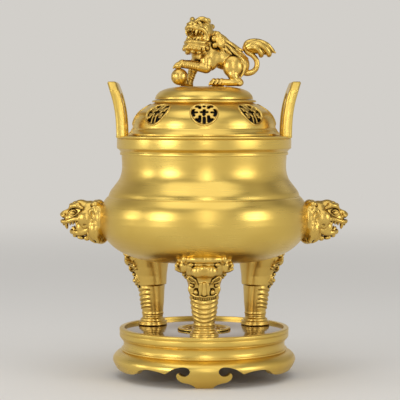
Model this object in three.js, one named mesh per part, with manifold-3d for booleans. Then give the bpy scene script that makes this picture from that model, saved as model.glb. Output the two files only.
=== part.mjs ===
// An altar incense burner in golden brass: a pierced lid with a guardian lion, a round-bellied bowl on three
// mask-faced legs, and a round stand on three scroll feet.
// Millimetres, +Z up. The origin is on the table under the middle, the front leg points to -Y.
import * as THREE from "three";
import { mergeVertices } from "three/addons/utils/BufferGeometryUtils.js";
import { TessellateModifier } from "three/addons/modifiers/TessellateModifier.js";
import Module from "manifold-3d";

const wasm = await Module();
wasm.setup();

// Fits
const SEAT_GAP = 0.3; // left between two faces that touch
const SPIGOT_GAP = 0.6; // round a spigot that lifts out
const OVERRUN = 4; // how far a cut runs past the face it opens

// Stand
const STAND_HEIGHT = 53.5;
const RIM_R = 91.7;
const RIM_WIDTH = 5.3;
const RIM_BAND = 12.5; // height of the beaded rim
const WAIST_R = 87.2;
const WAIST_BAND = 10; // height of the hollow waist
const APRON_R = 98.9;
const STAND_FOOT_R = 86.6; // outside radius where a foot meets the table
const STAND_WALL = 5.5;
const LEDGE_WIDTH = 11;
const LEDGE_DEPTH = 4;
const PLATE_SINK = 2.5; // plate top below the rim top
const PLATE_THICK = 3;
const FOOT_COUNT = 3;
const FOOT_HALF = 29.7; // half the width over a foot's two scrolls
const FOOT_RISE = 23.5; // from the table to the top of a scroll's eye
const MEDALLION_R = 28.7;
const MEDALLION_RIM = 3.2;
const MEDALLION_LIP = 1.6; // how far the ring stands over the plate
const MEDALLION_THICK = 2;
const GRILLE_RIM = 3.3;

// Pot
const LEG_HEIGHT = 75.4; // plate to the bowl's underside
const BELLY_R = 112.8;
const BELLY_RISE = 42.1; // underside to the widest line
const NECK_R = 88.5;
const NECK_LIP_R = 89.3; // the neck just under the mouth band
const SHOULDER_RISE = 71.3; // widest line to the mouth band
const POT_WALL = 4;
const BAND_R = 94;
const BAND_HEIGHT = 20.6;
const BAND_THIN = 0.6; // wall left behind the band's groove
const MOUTH_LEDGE_R = 95;
const MOUTH_LEDGE_THICK = 2.4;
const MOUTH_R = 74;

// Legs
const LEG_COUNT = 3;
const LEG_CIRCLE_R = 65.2;
const LEG_HEM_R = 14.4;

// Handles
const HANDLE_FOOT_R = 82.6; // inner face of a handle where it stands on the ledge
const HANDLE_THICK = 10.4;
const HANDLE_RISE = 57.5;
const HANDLE_LEAN = 10.6; // how far the top leans outwards
const HANDLE_HALF = 34; // half the width over the two legs
const HANDLE_LEG = 13;
const HANDLE_CORNER = 9;
const HANDLE_LAP = 2.4; // how far the outer edge hangs over the ledge
const DOWEL_R = 0.9; // the two plain pins under each handle
const DOWEL_BITE = 7; // how far a pin runs into the handle, and as far into the band

// Lion heads on the belly
const HEAD_REACH = 44; // from the widest line out to the nose
const HEAD_HALF = 18.5;
const HEAD_WASHER_GAP = 1; // between the flat washer and the round wall behind it

// Lid
const LID_WALL = 3;
const FLANGE_R = 81.8;
const FLANGE_RISE = 8.6;
const SPIGOT_DEPTH = 8;
const DOME_R = 77;
const DOME_RISE = 25.6;
const STEP_R = 56.2; // ring between the two domes
const STEP_LIP = 1; // how far that ring overhangs the lower dome
const STEP_RISE = 4.2;
const CAP_R = 52.8;
const CAP_RISE = 14.4;
const CAP_LANDING = 4.5; // flat ring that the cap stands on
const ROUNDEL_COUNT = 8;
const ROUNDEL_R = 15.2;
const PIERCE_R = 13.9; // outer edge of the piercing
const PIERCE_BAR = 2.2; // width of the bars left standing

// Lion finial
const LION_HEIGHT = 74.6;
const BALL_R = 9.1;

// Bolts and screws
const LION_BOLT_R = 1.5; // the thin bolts that hold the lion
const LION_BOLT_HEAD_R = 2.8;
const LION_BOLT_HEAD_HEIGHT = 2;
const LION_BOLT_BITE = 4;
const LION_WASHER_R = 4;
const BOLT_R = 3;
const BOLT_HEAD_R = 5.5;
const BOLT_HEAD_HEIGHT = 3.5;
const BOLT_BITE = 12; // length that runs into the piece it holds
const WASHER_R = 7;
const WASHER_THICK = 1.2;
const SCREW_R = 0.9;
const SCREW_HEAD_R = 1.5;
const SCREW_HEAD_HEIGHT = 1.6;
const SCREW_BITE = 2;

// Fineness
const TURN_STEPS = 32;
const ARCH_STEPS = 8; // straight stretches of an arch between two feet
const ARCH_ROUNDS = 32; // times that a long edge may be halved
const BOLT_STEPS = 8;
const ROUND_STEPS = 16; // small turned pieces
const HEX_STEPS = 6;
const BLOB_STEPS = 7;
const BLOB_ROWS = 4;
const CURL_STEPS = 6;
const LIMB_STEPS = 6;
const ROUNDEL_STEPS = 12;
const LEG_STEPS = 12;

// Heights worked out from the sizes above
const plateTop = STAND_HEIGHT - PLATE_SINK;
const legBase = plateTop + SEAT_GAP;
const bowlBase = plateTop + LEG_HEIGHT;
const bellyLine = bowlBase + BELLY_RISE;
const neckTop = bellyLine + SHOULDER_RISE;
const ledgeTop = neckTop + BAND_HEIGHT;
const flangeBase = ledgeTop + SEAT_GAP;
const domeBase = flangeBase + FLANGE_RISE;
const stepBase = domeBase + DOME_RISE;
const capBase = stepBase + STEP_RISE;
const capTop = capBase + CAP_RISE;

// Outlines as hand-set shares, each pair [radius, height]
const rimShares = [
  [0.9, 1],
  [1, 0.93],
  [1, 0.7],
  [0.86, 0.65],
  [0.96, 0.58],
  [0.96, 0.26],
  [0.6, 0.08],
];
const waistShares = [
  [0.05, 0.85],
  [0, 0.6],
  [0.2, 0.05],
];
const apronShares = [
  [0.36, 0.99],
  [0.36, 0.93],
  [0.6, 0.87],
  [0.9, 0.76],
  [1, 0.64],
];
const skirtShares = [
  [0.93, 0.47],
  [0.72, 0.31],
  [0.38, 0.14],
  [0, 0],
];
const scrollShares = [
  [0.33, 0],
  [0.4, 0.1],
  [0.5, 0.19],
  [0.67, 0.255],
  [0.835, 0.3],
  [0.96, 0.42],
  [1, 0.57],
  [0.975, 0.68],
  [0.92, 0.73],
  [0.875, 0.66],
  [0.775, 0.6],
  [0.64, 0.605],
  [0.54, 0.7],
  [0.5, 0.83],
  [0.57, 0.95],
  [0.7, 1],
  [0.875, 0.99],
];
const apronEdgeShares = [
  [0.33, 0.89],
  [0.41, 0.66],
  [0.5, 0.745],
  [0.62, 0.785],
  [0.72, 0.7],
  [0.8, 0.51],
  [0.88, 0.43],
  [1, 0.41],
];
const bellyShares = [
  [0, 0],
  [0.594, 0.025],
  [0.7, 0.1],
  [0.82, 0.25],
  [0.91, 0.45],
  [0.975, 0.68],
  [1, 1],
];
const shoulderShares = [
  [0.975, 0.14],
  [0.902, 0.258],
  [0.671, 0.364],
  [0.6, 0.38],
  [0.54, 0.45],
  [0.3, 0.55],
  [0.1, 0.635],
  [0, 0.78],
];
const bandShares = [
  [0.1, 0.02],
  [0.1, 0.12],
  [0, 0.2],
  [0.7, 0.33],
  [1, 0.38],
  [1, 0.86],
  [0.75, 0.89],
];
const flangeShares = [
  [1, 0],
  [1, 0.24],
  [0.35, 0.65],
  [0, 1],
];
const domeShares = [
  [0.985, 0.18],
  [0.88, 0.45],
  [0.66, 0.68],
  [0.34, 0.86],
  [0, 1],
];
const stepShares = [
  [0.94, 0.15],
  [1, 0.3],
  [1, 0.75],
  [0.93, 1],
];
const capShares = [
  [1, 0],
  [0.98, 0.3],
  [0.9, 0.6],
  [0.76, 0.82],
  [0.56, 0.95],
  [0.3, 0.99],
  [0, 1],
];

// A leg, as shares of its height and of its hem radius: [height, sideways, outwards, inwards]
const legStationShares = [
  [0, 1, 1.01, 0.99],
  [0.03, 1, 1.01, 0.99],
  [0.073, 0.875, 0.89, 0.86],
  [0.14, 0.71, 0.72, 0.7],
  [0.2, 0.765, 0.79, 0.75],
  [0.345, 0.875, 0.9, 0.79],
  [0.49, 0.965, 1, 0.79],
  [0.588, 1.01, 1.17, 0.79],
  [0.594, 1.03, 1.2, 0.95],
  [0.73, 1.17, 1.45, 0.95],
  [0.86, 1.4, 1.75, 0.97],
  [0.98, 1.72, 2, 1],
  [1.2, 1.72, 2.05, 1],
];
// Raised forms of a leg's mask, on both sides: [height, sideways, outwards, half height, half width, half depth]
const maskShares = [
  [0.84, 0.42, 1.5, 0.09, 0.75, 0.5],
  [0.7, 0.78, 1.08, 0.055, 0.33, 0.35],
  [0.79, 1.28, 0.98, 0.06, 0.34, 0.42],
  [0.89, 1.68, 0.8, 0.09, 0.42, 0.5],
  [0.62, 0.3, 1.2, 0.06, 0.36, 0.3],
];

// A handle seen from the side, as shares of its lean and of its rise: [outwards, up]
const handleLeanShares = [
  [0, 0],
  [0.04, 0.2],
  [0.13, 0.4],
  [0.32, 0.6],
  [0.62, 0.8],
  [1, 1],
];

// A lion head on the belly, as shares of its reach and of its half width.
// Each row is [outwards, sideways, up, half depth, half width, half height, tip forwards in turns]
const headShares = [
  [0.05, 0, -0.05, 0.2, 1, 1.25, 0],
  [0.43, 0, 0.42, 0.4, 0.78, 0.76, 0],
  [0.63, 0, 0.9, 0.11, 0.45, 0.3, 0],
  [0.75, 0, 0.24, 0.22, 0.55, 0.38, -0.02],
  [0.93, 0, 0.24, 0.07, 0.4, 0.26, 0],
  [0.36, 0, -0.25, 0.22, 0.8, 0.8, 0],
  [0.53, 0, -0.72, 0.28, 0.42, 0.27, -0.07],
  [0.46, 0, -1.06, 0.11, 0.32, 0.25, 0],
  [0.08, 0, -1.12, 0.2, 0.5, 0.38, 0],
];
// Curls and brows that a head carries on both sides
const headCurlShares = [
  [0.17, 0.72, 0.85, 0.14, 0.36, 0.4, 0],
  [0.2, 0.95, 0.2, 0.15, 0.28, 0.4, 0],
  [0.18, 0.78, -0.55, 0.16, 0.32, 0.4, 0],
  [0.62, 0.42, 0.42, 0.12, 0.2, 0.2, 0],
];

// The lion, as shares of its height from the cap's top: [x, y, up, half x, half y, half up, tip in turns]
const lionBlobShares = [
  [-0.02, 0, 0.86, 0.18, 0.18, 0.135, 0],
  [-0.15, -0.04, 0.83, 0.13, 0.15, 0.085, -0.02],
  [0.07, 0, 0.7, 0.15, 0.18, 0.2, 0],
  [-0.14, -0.04, 0.61, 0.18, 0.15, 0.07, 0.02],
  [-0.07, -0.02, 0.53, 0.19, 0.17, 0.07, 0],
  [0.04, 0, 0.43, 0.2, 0.19, 0.22, 0],
  [0.27, 0, 0.41, 0.31, 0.2, 0.23, 0.03],
  [0.47, 0, 0.29, 0.2, 0.18, 0.19, 0.02],
  [0.34, 0, 0.57, 0.2, 0.1, 0.1, 0.08],
];
// Forms that the lion has on both sides, near side first
const lionPairShares = [
  [0.22, 0.15, 0.66, 0.06, 0.05, 0.14, 0],
  [0.42, 0.13, 0.26, 0.16, 0.1, 0.2, 0.03],
];
// Limbs: [[x, y, up, radius] and on], one row per limb
const lionLimbShares = [
  [
    [0.42, -0.16, 0.16, 0.08],
    [0.48, -0.17, 0.07, 0.065],
    [0.14, -0.17, 0.055, 0.06],
  ],
  [
    [0.42, 0.16, 0.16, 0.08],
    [0.48, 0.17, 0.07, 0.065],
    [0.14, 0.17, 0.055, 0.06],
  ],
  [
    [0, -0.13, 0.42, 0.1],
    [0.01, -0.15, 0.27, 0.085],
    [-0.34, -0.14, 0.31, 0.07],
  ],
  [
    [-0.04, 0.1, 0.42, 0.1],
    [-0.17, 0.13, 0.24, 0.07],
    [-0.19, 0.13, 0.05, 0.06],
    [-0.26, 0.12, 0.045, 0.05],
  ],
];
// The lion is bolted down through the near hind foot and the far forefoot.
const lionBoltShares = {
  hind: [0.3, -0.17, 0],
  fore: [-0.19, 0.13, 0],
};
const TAIL_ROOT = 3; // joints of the tail that lie in the rump
const lionBallShares = [-0.354, -0.13, 0.13];
const lionTailShares = [
  [0.55, 0, 0.22, 0.045],
  [0.66, 0, 0.2, 0.045],
  [0.737, 0, 0.242, 0.035],
  [0.768, 0, 0.33, 0.035],
  [0.703, 0, 0.441, 0.04],
  [0.6, 0, 0.52, 0.045],
  [0.63, 0, 0.6, 0.055],
  [0.725, 0, 0.63, 0.085],
  [0.838, 0, 0.585, 0.11],
  [0.954, 0, 0.52, 0.07],
  [1.035, 0, 0.47, 0.02],
];
const lionTailLobeShares = [
  [0.813, 0, 0.45, 0.06],
  [0.92, 0, 0.445, 0.055],
];

// Turns a geometry into a solid that can be joined and cut, with its faces pointing out.
function solid(geometry) {
  const bare = geometry.clone();
  bare.deleteAttribute("normal");
  bare.deleteAttribute("uv");
  const merged = mergeVertices(bare, 1e-4);
  const shape = new wasm.Mesh({
    numProp: 3,
    vertProperties: new Float32Array(merged.attributes.position.array),
    triVerts: new Uint32Array(merged.index.array),
  });
  const made = new wasm.Manifold(shape);
  if (made.volume() > 0) return made;
  shape.triVerts = shape.triVerts.map((vertex, i, all) => all[i - (i % 3) + 2 - (i % 3)]);
  return new wasm.Manifold(shape);
}

// Turns a solid back into a geometry for a mesh.
function geometryOf(made) {
  const mesh = made.getMesh();
  const positions = new Float32Array(mesh.numVert * 3);
  for (let i = 0; i < mesh.numVert; i += 1) {
    positions.set(mesh.vertProperties.subarray(i * mesh.numProp, i * mesh.numProp + 3), i * 3);
  }
  const geometry = new THREE.BufferGeometry();
  geometry.setAttribute("position", new THREE.BufferAttribute(positions, 3));
  geometry.setIndex(new THREE.BufferAttribute(mesh.triVerts, 1));
  geometry.computeVertexNormals();
  return geometry;
}

const joined = (solids) => solids.reduce((all, next) => all.add(next));
const less = (body, cuts) => cuts.reduce((left, cut) => left.subtract(cut), body);
const turnAngle = (index, count) => (index * 2 * Math.PI) / count;
const frontTurn = (angle, radius) => [radius * Math.sin(angle), -radius * Math.cos(angle)];

// Revolves an outline of [radius, height] points, which closes on itself or on the axis, about the upright axis.
function turned(outline, steps = TURN_STEPS) {
  const closed = outline[0][0] > 0 ? [...outline, outline[0]] : outline;
  const points = closed.map(([r, z]) => new THREE.Vector2(r, z));
  return solid(new THREE.LatheGeometry(points, steps).rotateX(Math.PI / 2));
}

// A round bar along +Z from the height low to the height high.
function bar(radius, low, high, steps = BOLT_STEPS) {
  return turned(
    [
      [0, low],
      [radius, low],
      [radius, high],
      [0, high],
    ],
    steps,
  );
}

// Moves an outline sideways by a distance, to its left for a positive one.
function offsetOutline(outline, distance) {
  return outline.map(([r, z], i) => {
    const [r0, z0] = outline[Math.max(i - 1, 0)];
    const [r1, z1] = outline[Math.min(i + 1, outline.length - 1)];
    const length = Math.hypot(r1 - r0, z1 - z0);
    const moved = r - (distance * (z1 - z0)) / length;
    return [r === 0 ? 0 : moved, z + (distance * (r1 - r0)) / length];
  });
}

// Places share pairs between two radii and two heights.
function spread(shares, innerR, outerR, low, high) {
  return shares.map(([r, z]) => [innerR + r * (outerR - innerR), low + z * (high - low)]);
}

// The height of an outline at a radius, and its radius at a height, read along its straight stretches.
function between(outline, from, to, value) {
  for (let i = 1; i < outline.length; i += 1) {
    const a = outline[i - 1];
    const b = outline[i];
    if ((a[from] - value) * (b[from] - value) <= 0 && a[from] !== b[from]) {
      return a[to] + ((value - a[from]) / (b[from] - a[from])) * (b[to] - a[to]);
    }
  }
  return outline[outline.length - 1][to];
}
const heightAt = (outline, radius) => between(outline, 0, 1, radius);
const radiusAt = (outline, height) => between(outline, 1, 0, height);

// A closed skin through rings of points, with a fan over each end.
function lofted(rings) {
  const count = rings[0].length;
  const last = (rings.length - 1) * count;
  const centre = (ring) =>
    ring.reduce((sum, point) => sum.add(point), new THREE.Vector3()).divideScalar(count);
  const points = [...rings.flat(), centre(rings[0]), centre(rings[rings.length - 1])];
  const faces = [];
  for (let i = 0; i < rings.length - 1; i += 1) {
    for (let j = 0; j < count; j += 1) {
      const a = i * count + j;
      const b = i * count + ((j + 1) % count);
      faces.push(a, b, b + count, a, b + count, a + count);
    }
  }
  for (let j = 0; j < count; j += 1) {
    const next = (j + 1) % count;
    faces.push(last + count, next, j, last + count + 1, last + j, last + next);
  }
  const geometry = new THREE.BufferGeometry().setFromPoints(points);
  geometry.setIndex(faces);
  return solid(geometry);
}

// A rounded lump: its middle, its three half sizes and a tip about Y.
function blob(middle, half, tip = 0, steps = BLOB_STEPS) {
  const geometry = new THREE.SphereGeometry(1, steps, BLOB_ROWS);
  geometry.rotateX(Math.PI / 2).scale(...half).rotateY(tip);
  return solid(geometry.translate(...middle));
}

// A limb through joints of [x, y, z, radius]: a ball at each joint and a taper between each two.
function limb(joints) {
  const parts = joints.map(([x, y, z, r]) => blob([x, y, z], [r, r, r], 0, CURL_STEPS));
  for (let i = 1; i < joints.length; i += 1) {
    const from = new THREE.Vector3(...joints[i - 1]);
    const to = new THREE.Vector3(...joints[i]);
    const along = to.clone().sub(from);
    const taper = new THREE.CylinderGeometry(joints[i][3], joints[i - 1][3], along.length(), LIMB_STEPS);
    const turn = new THREE.Quaternion().setFromUnitVectors(
      new THREE.Vector3(0, 1, 0),
      along.clone().normalize(),
    );
    const middle = from.clone().add(to).multiplyScalar(0.5);
    taper.applyQuaternion(turn).translate(middle.x, middle.y, middle.z);
    parts.push(solid(taper));
  }
  return joined(parts);
}

// A smooth tapered tube through joints of [x, y, z, radius].
function tube(joints) {
  const middles = joints.map(([x, y, z]) => new THREE.Vector3(x, y, z));
  const rings = joints.map((joint, i) => {
    const before = middles[Math.max(i - 1, 0)];
    const after = middles[Math.min(i + 1, middles.length - 1)];
    const along = after.clone().sub(before).normalize();
    const across = new THREE.Vector3(0, 1, 0);
    const up = along.clone().cross(across);
    const ring = [];
    for (let j = 0; j < LIMB_STEPS; j += 1) {
      const angle = turnAngle(j, LIMB_STEPS);
      const point = across.clone().multiplyScalar(joint[3] * Math.cos(angle));
      point.addScaledVector(up, -joint[3] * Math.sin(angle));
      ring.push(point.add(middles[i]));
    }
    return ring;
  });
  return lofted(rings);
}

// A flat outline pushed straight up by a height.
function prism(points, height) {
  const shape = new THREE.Shape(points.map(([x, y]) => new THREE.Vector2(x, y)));
  return solid(new THREE.ExtrudeGeometry(shape, { depth: height, bevelEnabled: false }));
}

// Materials
const brass = (colour, roughness) =>
  new THREE.MeshStandardMaterial({ color: colour, roughness, metalness: 1 });
const BRUSHED = brass(0xd9ab3f, 0.3);
const CAST = brass(0xc99b35, 0.38);
const MIRROR = brass(0x9b7f4f, 0.12);
const STEEL = brass(0x9c9c98, 0.45);

const burner = new THREE.Group();

// Adds one piece to the burner, turned about the upright axis.
function place(name, made, material, turn = 0) {
  const mesh = new THREE.Mesh(geometryOf(made), material.clone());
  mesh.name = name;
  mesh.rotation.z = turn;
  burner.add(mesh);
}

// A hexagon-headed bolt that points to -Z, with its head's underside at the origin.
function hexBolt(length) {
  return bar(BOLT_HEAD_R, 0, BOLT_HEAD_HEIGHT, HEX_STEPS).add(bar(BOLT_R, -length, SEAT_GAP));
}

// A washer with its underside at the origin.
function washer() {
  return bar(WASHER_R, 0, WASHER_THICK).subtract(
    bar(BOLT_R + SEAT_GAP, -OVERRUN, WASHER_THICK + OVERRUN),
  );
}

// A small round-headed screw that points to +Z, with its head's top at the origin.
function smallScrew(length) {
  return bar(SCREW_HEAD_R, -SCREW_HEAD_HEIGHT, 0).add(bar(SCREW_R, -SEAT_GAP, length));
}

// Stand
const ledgeTopZ = plateTop - PLATE_THICK - SEAT_GAP;
const ledgeBaseZ = ledgeTopZ - LEDGE_DEPTH;
const recessR = RIM_R - RIM_WIDTH;
const ledgeR = recessR - LEDGE_WIDTH;
const rimBaseZ = STAND_HEIGHT - RIM_BAND;
const waistBaseZ = rimBaseZ - WAIST_BAND;
const standOuter = [
  ...spread(rimShares, WAIST_R, RIM_R, rimBaseZ, STAND_HEIGHT),
  ...spread(waistShares, WAIST_R, RIM_R, waistBaseZ, rimBaseZ),
  ...spread(apronShares, WAIST_R - STAND_WALL / 2, APRON_R, 0, waistBaseZ),
  ...spread(skirtShares, STAND_FOOT_R, APRON_R, 0, waistBaseZ),
];
const footInnerR = STAND_FOOT_R - STAND_WALL;
const apronWideZ = waistBaseZ * apronShares[apronShares.length - 1][1];

// A cutter for the open space between two feet: the scroll of one foot, the apron's edge, and the next scroll.
function archCutter() {
  const pitch = (2 * Math.PI * APRON_R) / FOOT_COUNT;
  const footSide = scrollShares.map(([s, z]) => [s * FOOT_HALF, z * FOOT_RISE]);
  const edge = apronEdgeShares.map(([s, z]) => [(s * pitch) / 2, z * FOOT_RISE]);
  const half = [[footSide[0][0], -OVERRUN], ...footSide, ...edge];
  const other = half
    .slice(0, -1)
    .reverse()
    .map(([s, z]) => [pitch - s, z]);
  const shape = new THREE.Shape([...half, ...other].map(([s, z]) => new THREE.Vector2(s, z)));
  const flat = new THREE.ExtrudeGeometry(shape, { depth: 1, bevelEnabled: false });
  flat.deleteAttribute("normal");
  flat.deleteAttribute("uv");
  const fine = new TessellateModifier(pitch / ARCH_STEPS, ARCH_ROUNDS).modify(flat);
  const position = fine.getAttribute("position");
  const inner = footInnerR - STAND_WALL - OVERRUN;
  const outer = APRON_R + OVERRUN;
  for (let i = 0; i < position.count; i += 1) {
    const angle = position.getX(i) / APRON_R;
    const [x, y] = frontTurn(angle, inner + position.getZ(i) * (outer - inner));
    position.setXYZ(i, x, y, position.getY(i));
  }
  return solid(fine);
}

const plateScrewR = (ledgeR + WAIST_R - STAND_WALL) / 2;
const plateScrewTurn = turnAngle(0.5, FOOT_COUNT);
const screwLength = LEDGE_DEPTH + SEAT_GAP + SCREW_BITE;

function standFrame() {
  const inner = [
    [footInnerR, 0],
    [APRON_R - STAND_WALL, apronWideZ],
    [WAIST_R - STAND_WALL, waistBaseZ],
    [WAIST_R - STAND_WALL, ledgeBaseZ],
    [ledgeR, ledgeBaseZ],
    [ledgeR, ledgeTopZ],
    [recessR, ledgeTopZ],
    [recessR, STAND_HEIGHT],
  ];
  const ring = turned([...standOuter, ...inner]);
  const cutter = archCutter();
  const cuts = [];
  for (let i = 0; i < FOOT_COUNT; i += 1) {
    const degrees = (i * 360) / FOOT_COUNT;
    cuts.push(cutter.rotate([0, 0, degrees]));
    const [x, y] = frontTurn(turnAngle(i + 0.5, FOOT_COUNT), plateScrewR);
    cuts.push(bar(SCREW_R + SEAT_GAP, ledgeBaseZ - OVERRUN, ledgeTopZ + OVERRUN).translate([x, y, 0]));
  }
  return less(ring, cuts);
}

// The pierced disc in the plate's middle, as shares of its radius: its inner hoop and its eye
const grilleHoopShare = 0.6;
const grilleEyeShare = 0.22;

function medallionGrille(outerR, low, high) {
  const hoop = (r, wide) =>
    bar(r, low, high, ROUND_STEPS).subtract(
      bar(r - wide, low - OVERRUN, high + OVERRUN, ROUND_STEPS),
    );
  const parts = [
    hoop(outerR, GRILLE_RIM),
    hoop(outerR * grilleHoopShare, PIERCE_BAR),
    bar(outerR * grilleEyeShare, low, high),
  ];
  const rayCount = 2 * FOOT_COUNT;
  const rayLength = outerR - GRILLE_RIM / 2;
  for (let i = 0; i < rayCount; i += 1) {
    const ray = new THREE.BoxGeometry(rayLength, PIERCE_BAR, high - low);
    ray.translate(rayLength / 2, 0, (low + high) / 2).rotateZ(turnAngle(i + 0.5, rayCount));
    parts.push(solid(ray));
  }
  return joined(parts);
}

function buildStand() {
  place("stand_frame", standFrame(), BRUSHED);
  const medallionHoleR = MEDALLION_R - MEDALLION_RIM;
  const plateR = recessR - SEAT_GAP;
  const plateBase = plateTop - PLATE_THICK;
  const plate = turned([
    [medallionHoleR, plateBase],
    [plateR, plateBase],
    [plateR, plateTop],
    [medallionHoleR, plateTop],
  ]);
  const screwHoles = [];
  const holeTop = plateBase + SCREW_BITE + SEAT_GAP;
  for (let i = 0; i < FOOT_COUNT; i += 1) {
    const [x, y] = frontTurn(turnAngle(i, FOOT_COUNT) + plateScrewTurn, plateScrewR);
    screwHoles.push(bar(SCREW_R + SEAT_GAP, plateBase - OVERRUN, holeTop).translate([x, y, 0]));
    const seat = ledgeBaseZ - SEAT_GAP;
    place(`plate_screw_${i + 1}`, smallScrew(screwLength).translate([x, y, seat]), STEEL);
  }
  place("stand_plate", less(plate, screwHoles), MIRROR);
  const spigotR = medallionHoleR - SEAT_GAP;
  const boreR = spigotR - MEDALLION_RIM / 2;
  const shelfR = boreR - MEDALLION_RIM / 2;
  const shelfTop = plateBase + MEDALLION_THICK / 2;
  const ringBase = plateTop + SEAT_GAP;
  const ring = turned([
    [spigotR, plateBase],
    [spigotR, ringBase],
    [MEDALLION_R, ringBase],
    [MEDALLION_R - MEDALLION_LIP / 2, ringBase + MEDALLION_LIP],
    [boreR, ringBase + MEDALLION_LIP],
    [boreR, shelfTop],
    [shelfR, shelfTop],
    [shelfR, plateBase],
  ]);
  place("medallion_ring", ring, BRUSHED);
  const grilleBase = shelfTop + SEAT_GAP;
  const grille = medallionGrille(boreR - SEAT_GAP, grilleBase, grilleBase + MEDALLION_THICK);
  place("medallion_grille", grille, CAST);
}

// Bowl outlines, outside and inside
const bowlLower = spread(bellyShares, 0, BELLY_R, bowlBase, bellyLine);
const bowlUpper = spread(shoulderShares, NECK_R, BELLY_R, bellyLine, neckTop);
const bowlTop = ledgeTop - MOUTH_LEDGE_THICK - SEAT_GAP;
const bowlOuter = [...bowlLower, ...bowlUpper, [NECK_LIP_R, neckTop], [NECK_LIP_R, bowlTop]];
const ridgeIndex = bowlLower.length + 3; // the small step where shoulder and belly meet, smooth inside
const bowlInner = offsetOutline(
  bowlOuter.filter((point, i) => i !== ridgeIndex && i !== ridgeIndex + 1),
  POT_WALL,
).slice(0, -1);
const bowlMouth = [NECK_LIP_R - POT_WALL, bowlTop];

// Bolts through the bowl
const legBoltR = LEG_CIRCLE_R - LEG_HEM_R / 4;
const legWasherZ = heightAt(bowlInner, legBoltR + WASHER_R) + SEAT_GAP;
const headWasherX = radiusAt(bowlInner, bellyLine - WASHER_R) - HEAD_WASHER_GAP;
const boltHole = (low, high) => bar(BOLT_R + SEAT_GAP, low, high);

// Turns a piece made along +Z so that it lies along +X or, for a side of -1, along -X.
const sideways = (made, side) => made.rotate([0, side * 90, 0]);

function bowl() {
  const shell = turned([...bowlOuter, bowlMouth, ...bowlInner.slice().reverse()]);
  const cuts = [];
  for (let i = 0; i < LEG_COUNT; i += 1) {
    const [x, y] = frontTurn(turnAngle(i, LEG_COUNT), legBoltR);
    cuts.push(boltHole(bowlBase - OVERRUN, legWasherZ + OVERRUN).translate([x, y, 0]));
  }
  for (const side of [-1, 1]) {
    const hole = boltHole(BELLY_R - POT_WALL - OVERRUN, BELLY_R + OVERRUN);
    cuts.push(sideways(hole, side).translate([0, 0, bellyLine]));
  }
  return less(shell, cuts);
}

// The space that the bowl takes, with the seat gap round it, to cut what stands against it.
const bowlSpace = turned([
  ...offsetOutline(bowlOuter.slice(0, -2), -SEAT_GAP).filter(([r, z], i) => i > 0 || r === 0),
  [NECK_R, neckTop],
  [0, neckTop],
]);

function mouthBand() {
  const boreR = NECK_LIP_R + SEAT_GAP;
  const ledgeBase = ledgeTop - MOUTH_LEDGE_THICK;
  return turned([
    [boreR, neckTop],
    ...spread(bandShares, boreR + BAND_THIN, BAND_R, neckTop, ledgeTop),
    [MOUTH_LEDGE_R, ledgeBase + SEAT_GAP],
    [MOUTH_LEDGE_R, ledgeTop],
    [MOUTH_R, ledgeTop],
    [MOUTH_R, ledgeBase],
    [boreR, ledgeBase],
  ]);
}

// One leg at the front, standing on the plate and reaching into the bowl's space.
function legSolid() {
  const height = (share) => legBase + share * LEG_HEIGHT;
  const rings = legStationShares.map(([up, wide, out, inward]) => {
    const ring = [];
    for (let i = 0; i < LEG_STEPS; i += 1) {
      const angle = turnAngle(i, LEG_STEPS);
      const depth = Math.sin(angle) < 0 ? out : inward;
      const x = wide * LEG_HEM_R * Math.cos(angle);
      const y = depth * LEG_HEM_R * Math.sin(angle) - LEG_CIRCLE_R;
      ring.push(new THREE.Vector3(x, y, height(up)));
    }
    return ring;
  });
  const parts = [lofted(rings)];
  for (const [up, wide, out, halfUp, halfWide, halfDeep] of maskShares) {
    for (const side of [-1, 1]) {
      const middle = [side * wide * LEG_HEM_R, -LEG_CIRCLE_R - out * LEG_HEM_R, height(up)];
      const half = [halfWide * LEG_HEM_R, halfDeep * LEG_HEM_R, halfUp * LEG_HEIGHT];
      parts.push(blob(middle, half, 0, CURL_STEPS));
    }
  }
  const hole = boltHole(legWasherZ - BOLT_BITE - POT_WALL - OVERRUN, bellyLine);
  return less(joined(parts), [bowlSpace, hole.translate([0, -legBoltR, 0])]);
}

const legNames = ["front", "rear_right", "rear_left"];

function buildLegs() {
  const leg = legSolid();
  const bolt = hexBolt(BOLT_BITE + POT_WALL + WASHER_THICK + SEAT_GAP);
  legNames.forEach((name, i) => {
    const turn = turnAngle(i, LEG_COUNT);
    place(`leg_${name}`, leg, CAST, turn);
    place(`leg_washer_${name}`, washer().translate([0, -legBoltR, legWasherZ]), STEEL, turn);
    const headZ = legWasherZ + WASHER_THICK + SEAT_GAP;
    place(`leg_bolt_${name}`, bolt.translate([0, -legBoltR, headZ]), STEEL, turn);
  });
}

const dowel = bar(DOWEL_R, ledgeTop - DOWEL_BITE, ledgeTop + DOWEL_BITE);
const dowelHole = bar(
  DOWEL_R + SEAT_GAP,
  ledgeTop - DOWEL_BITE - SEAT_GAP,
  ledgeTop + DOWEL_BITE + SEAT_GAP,
);

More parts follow.
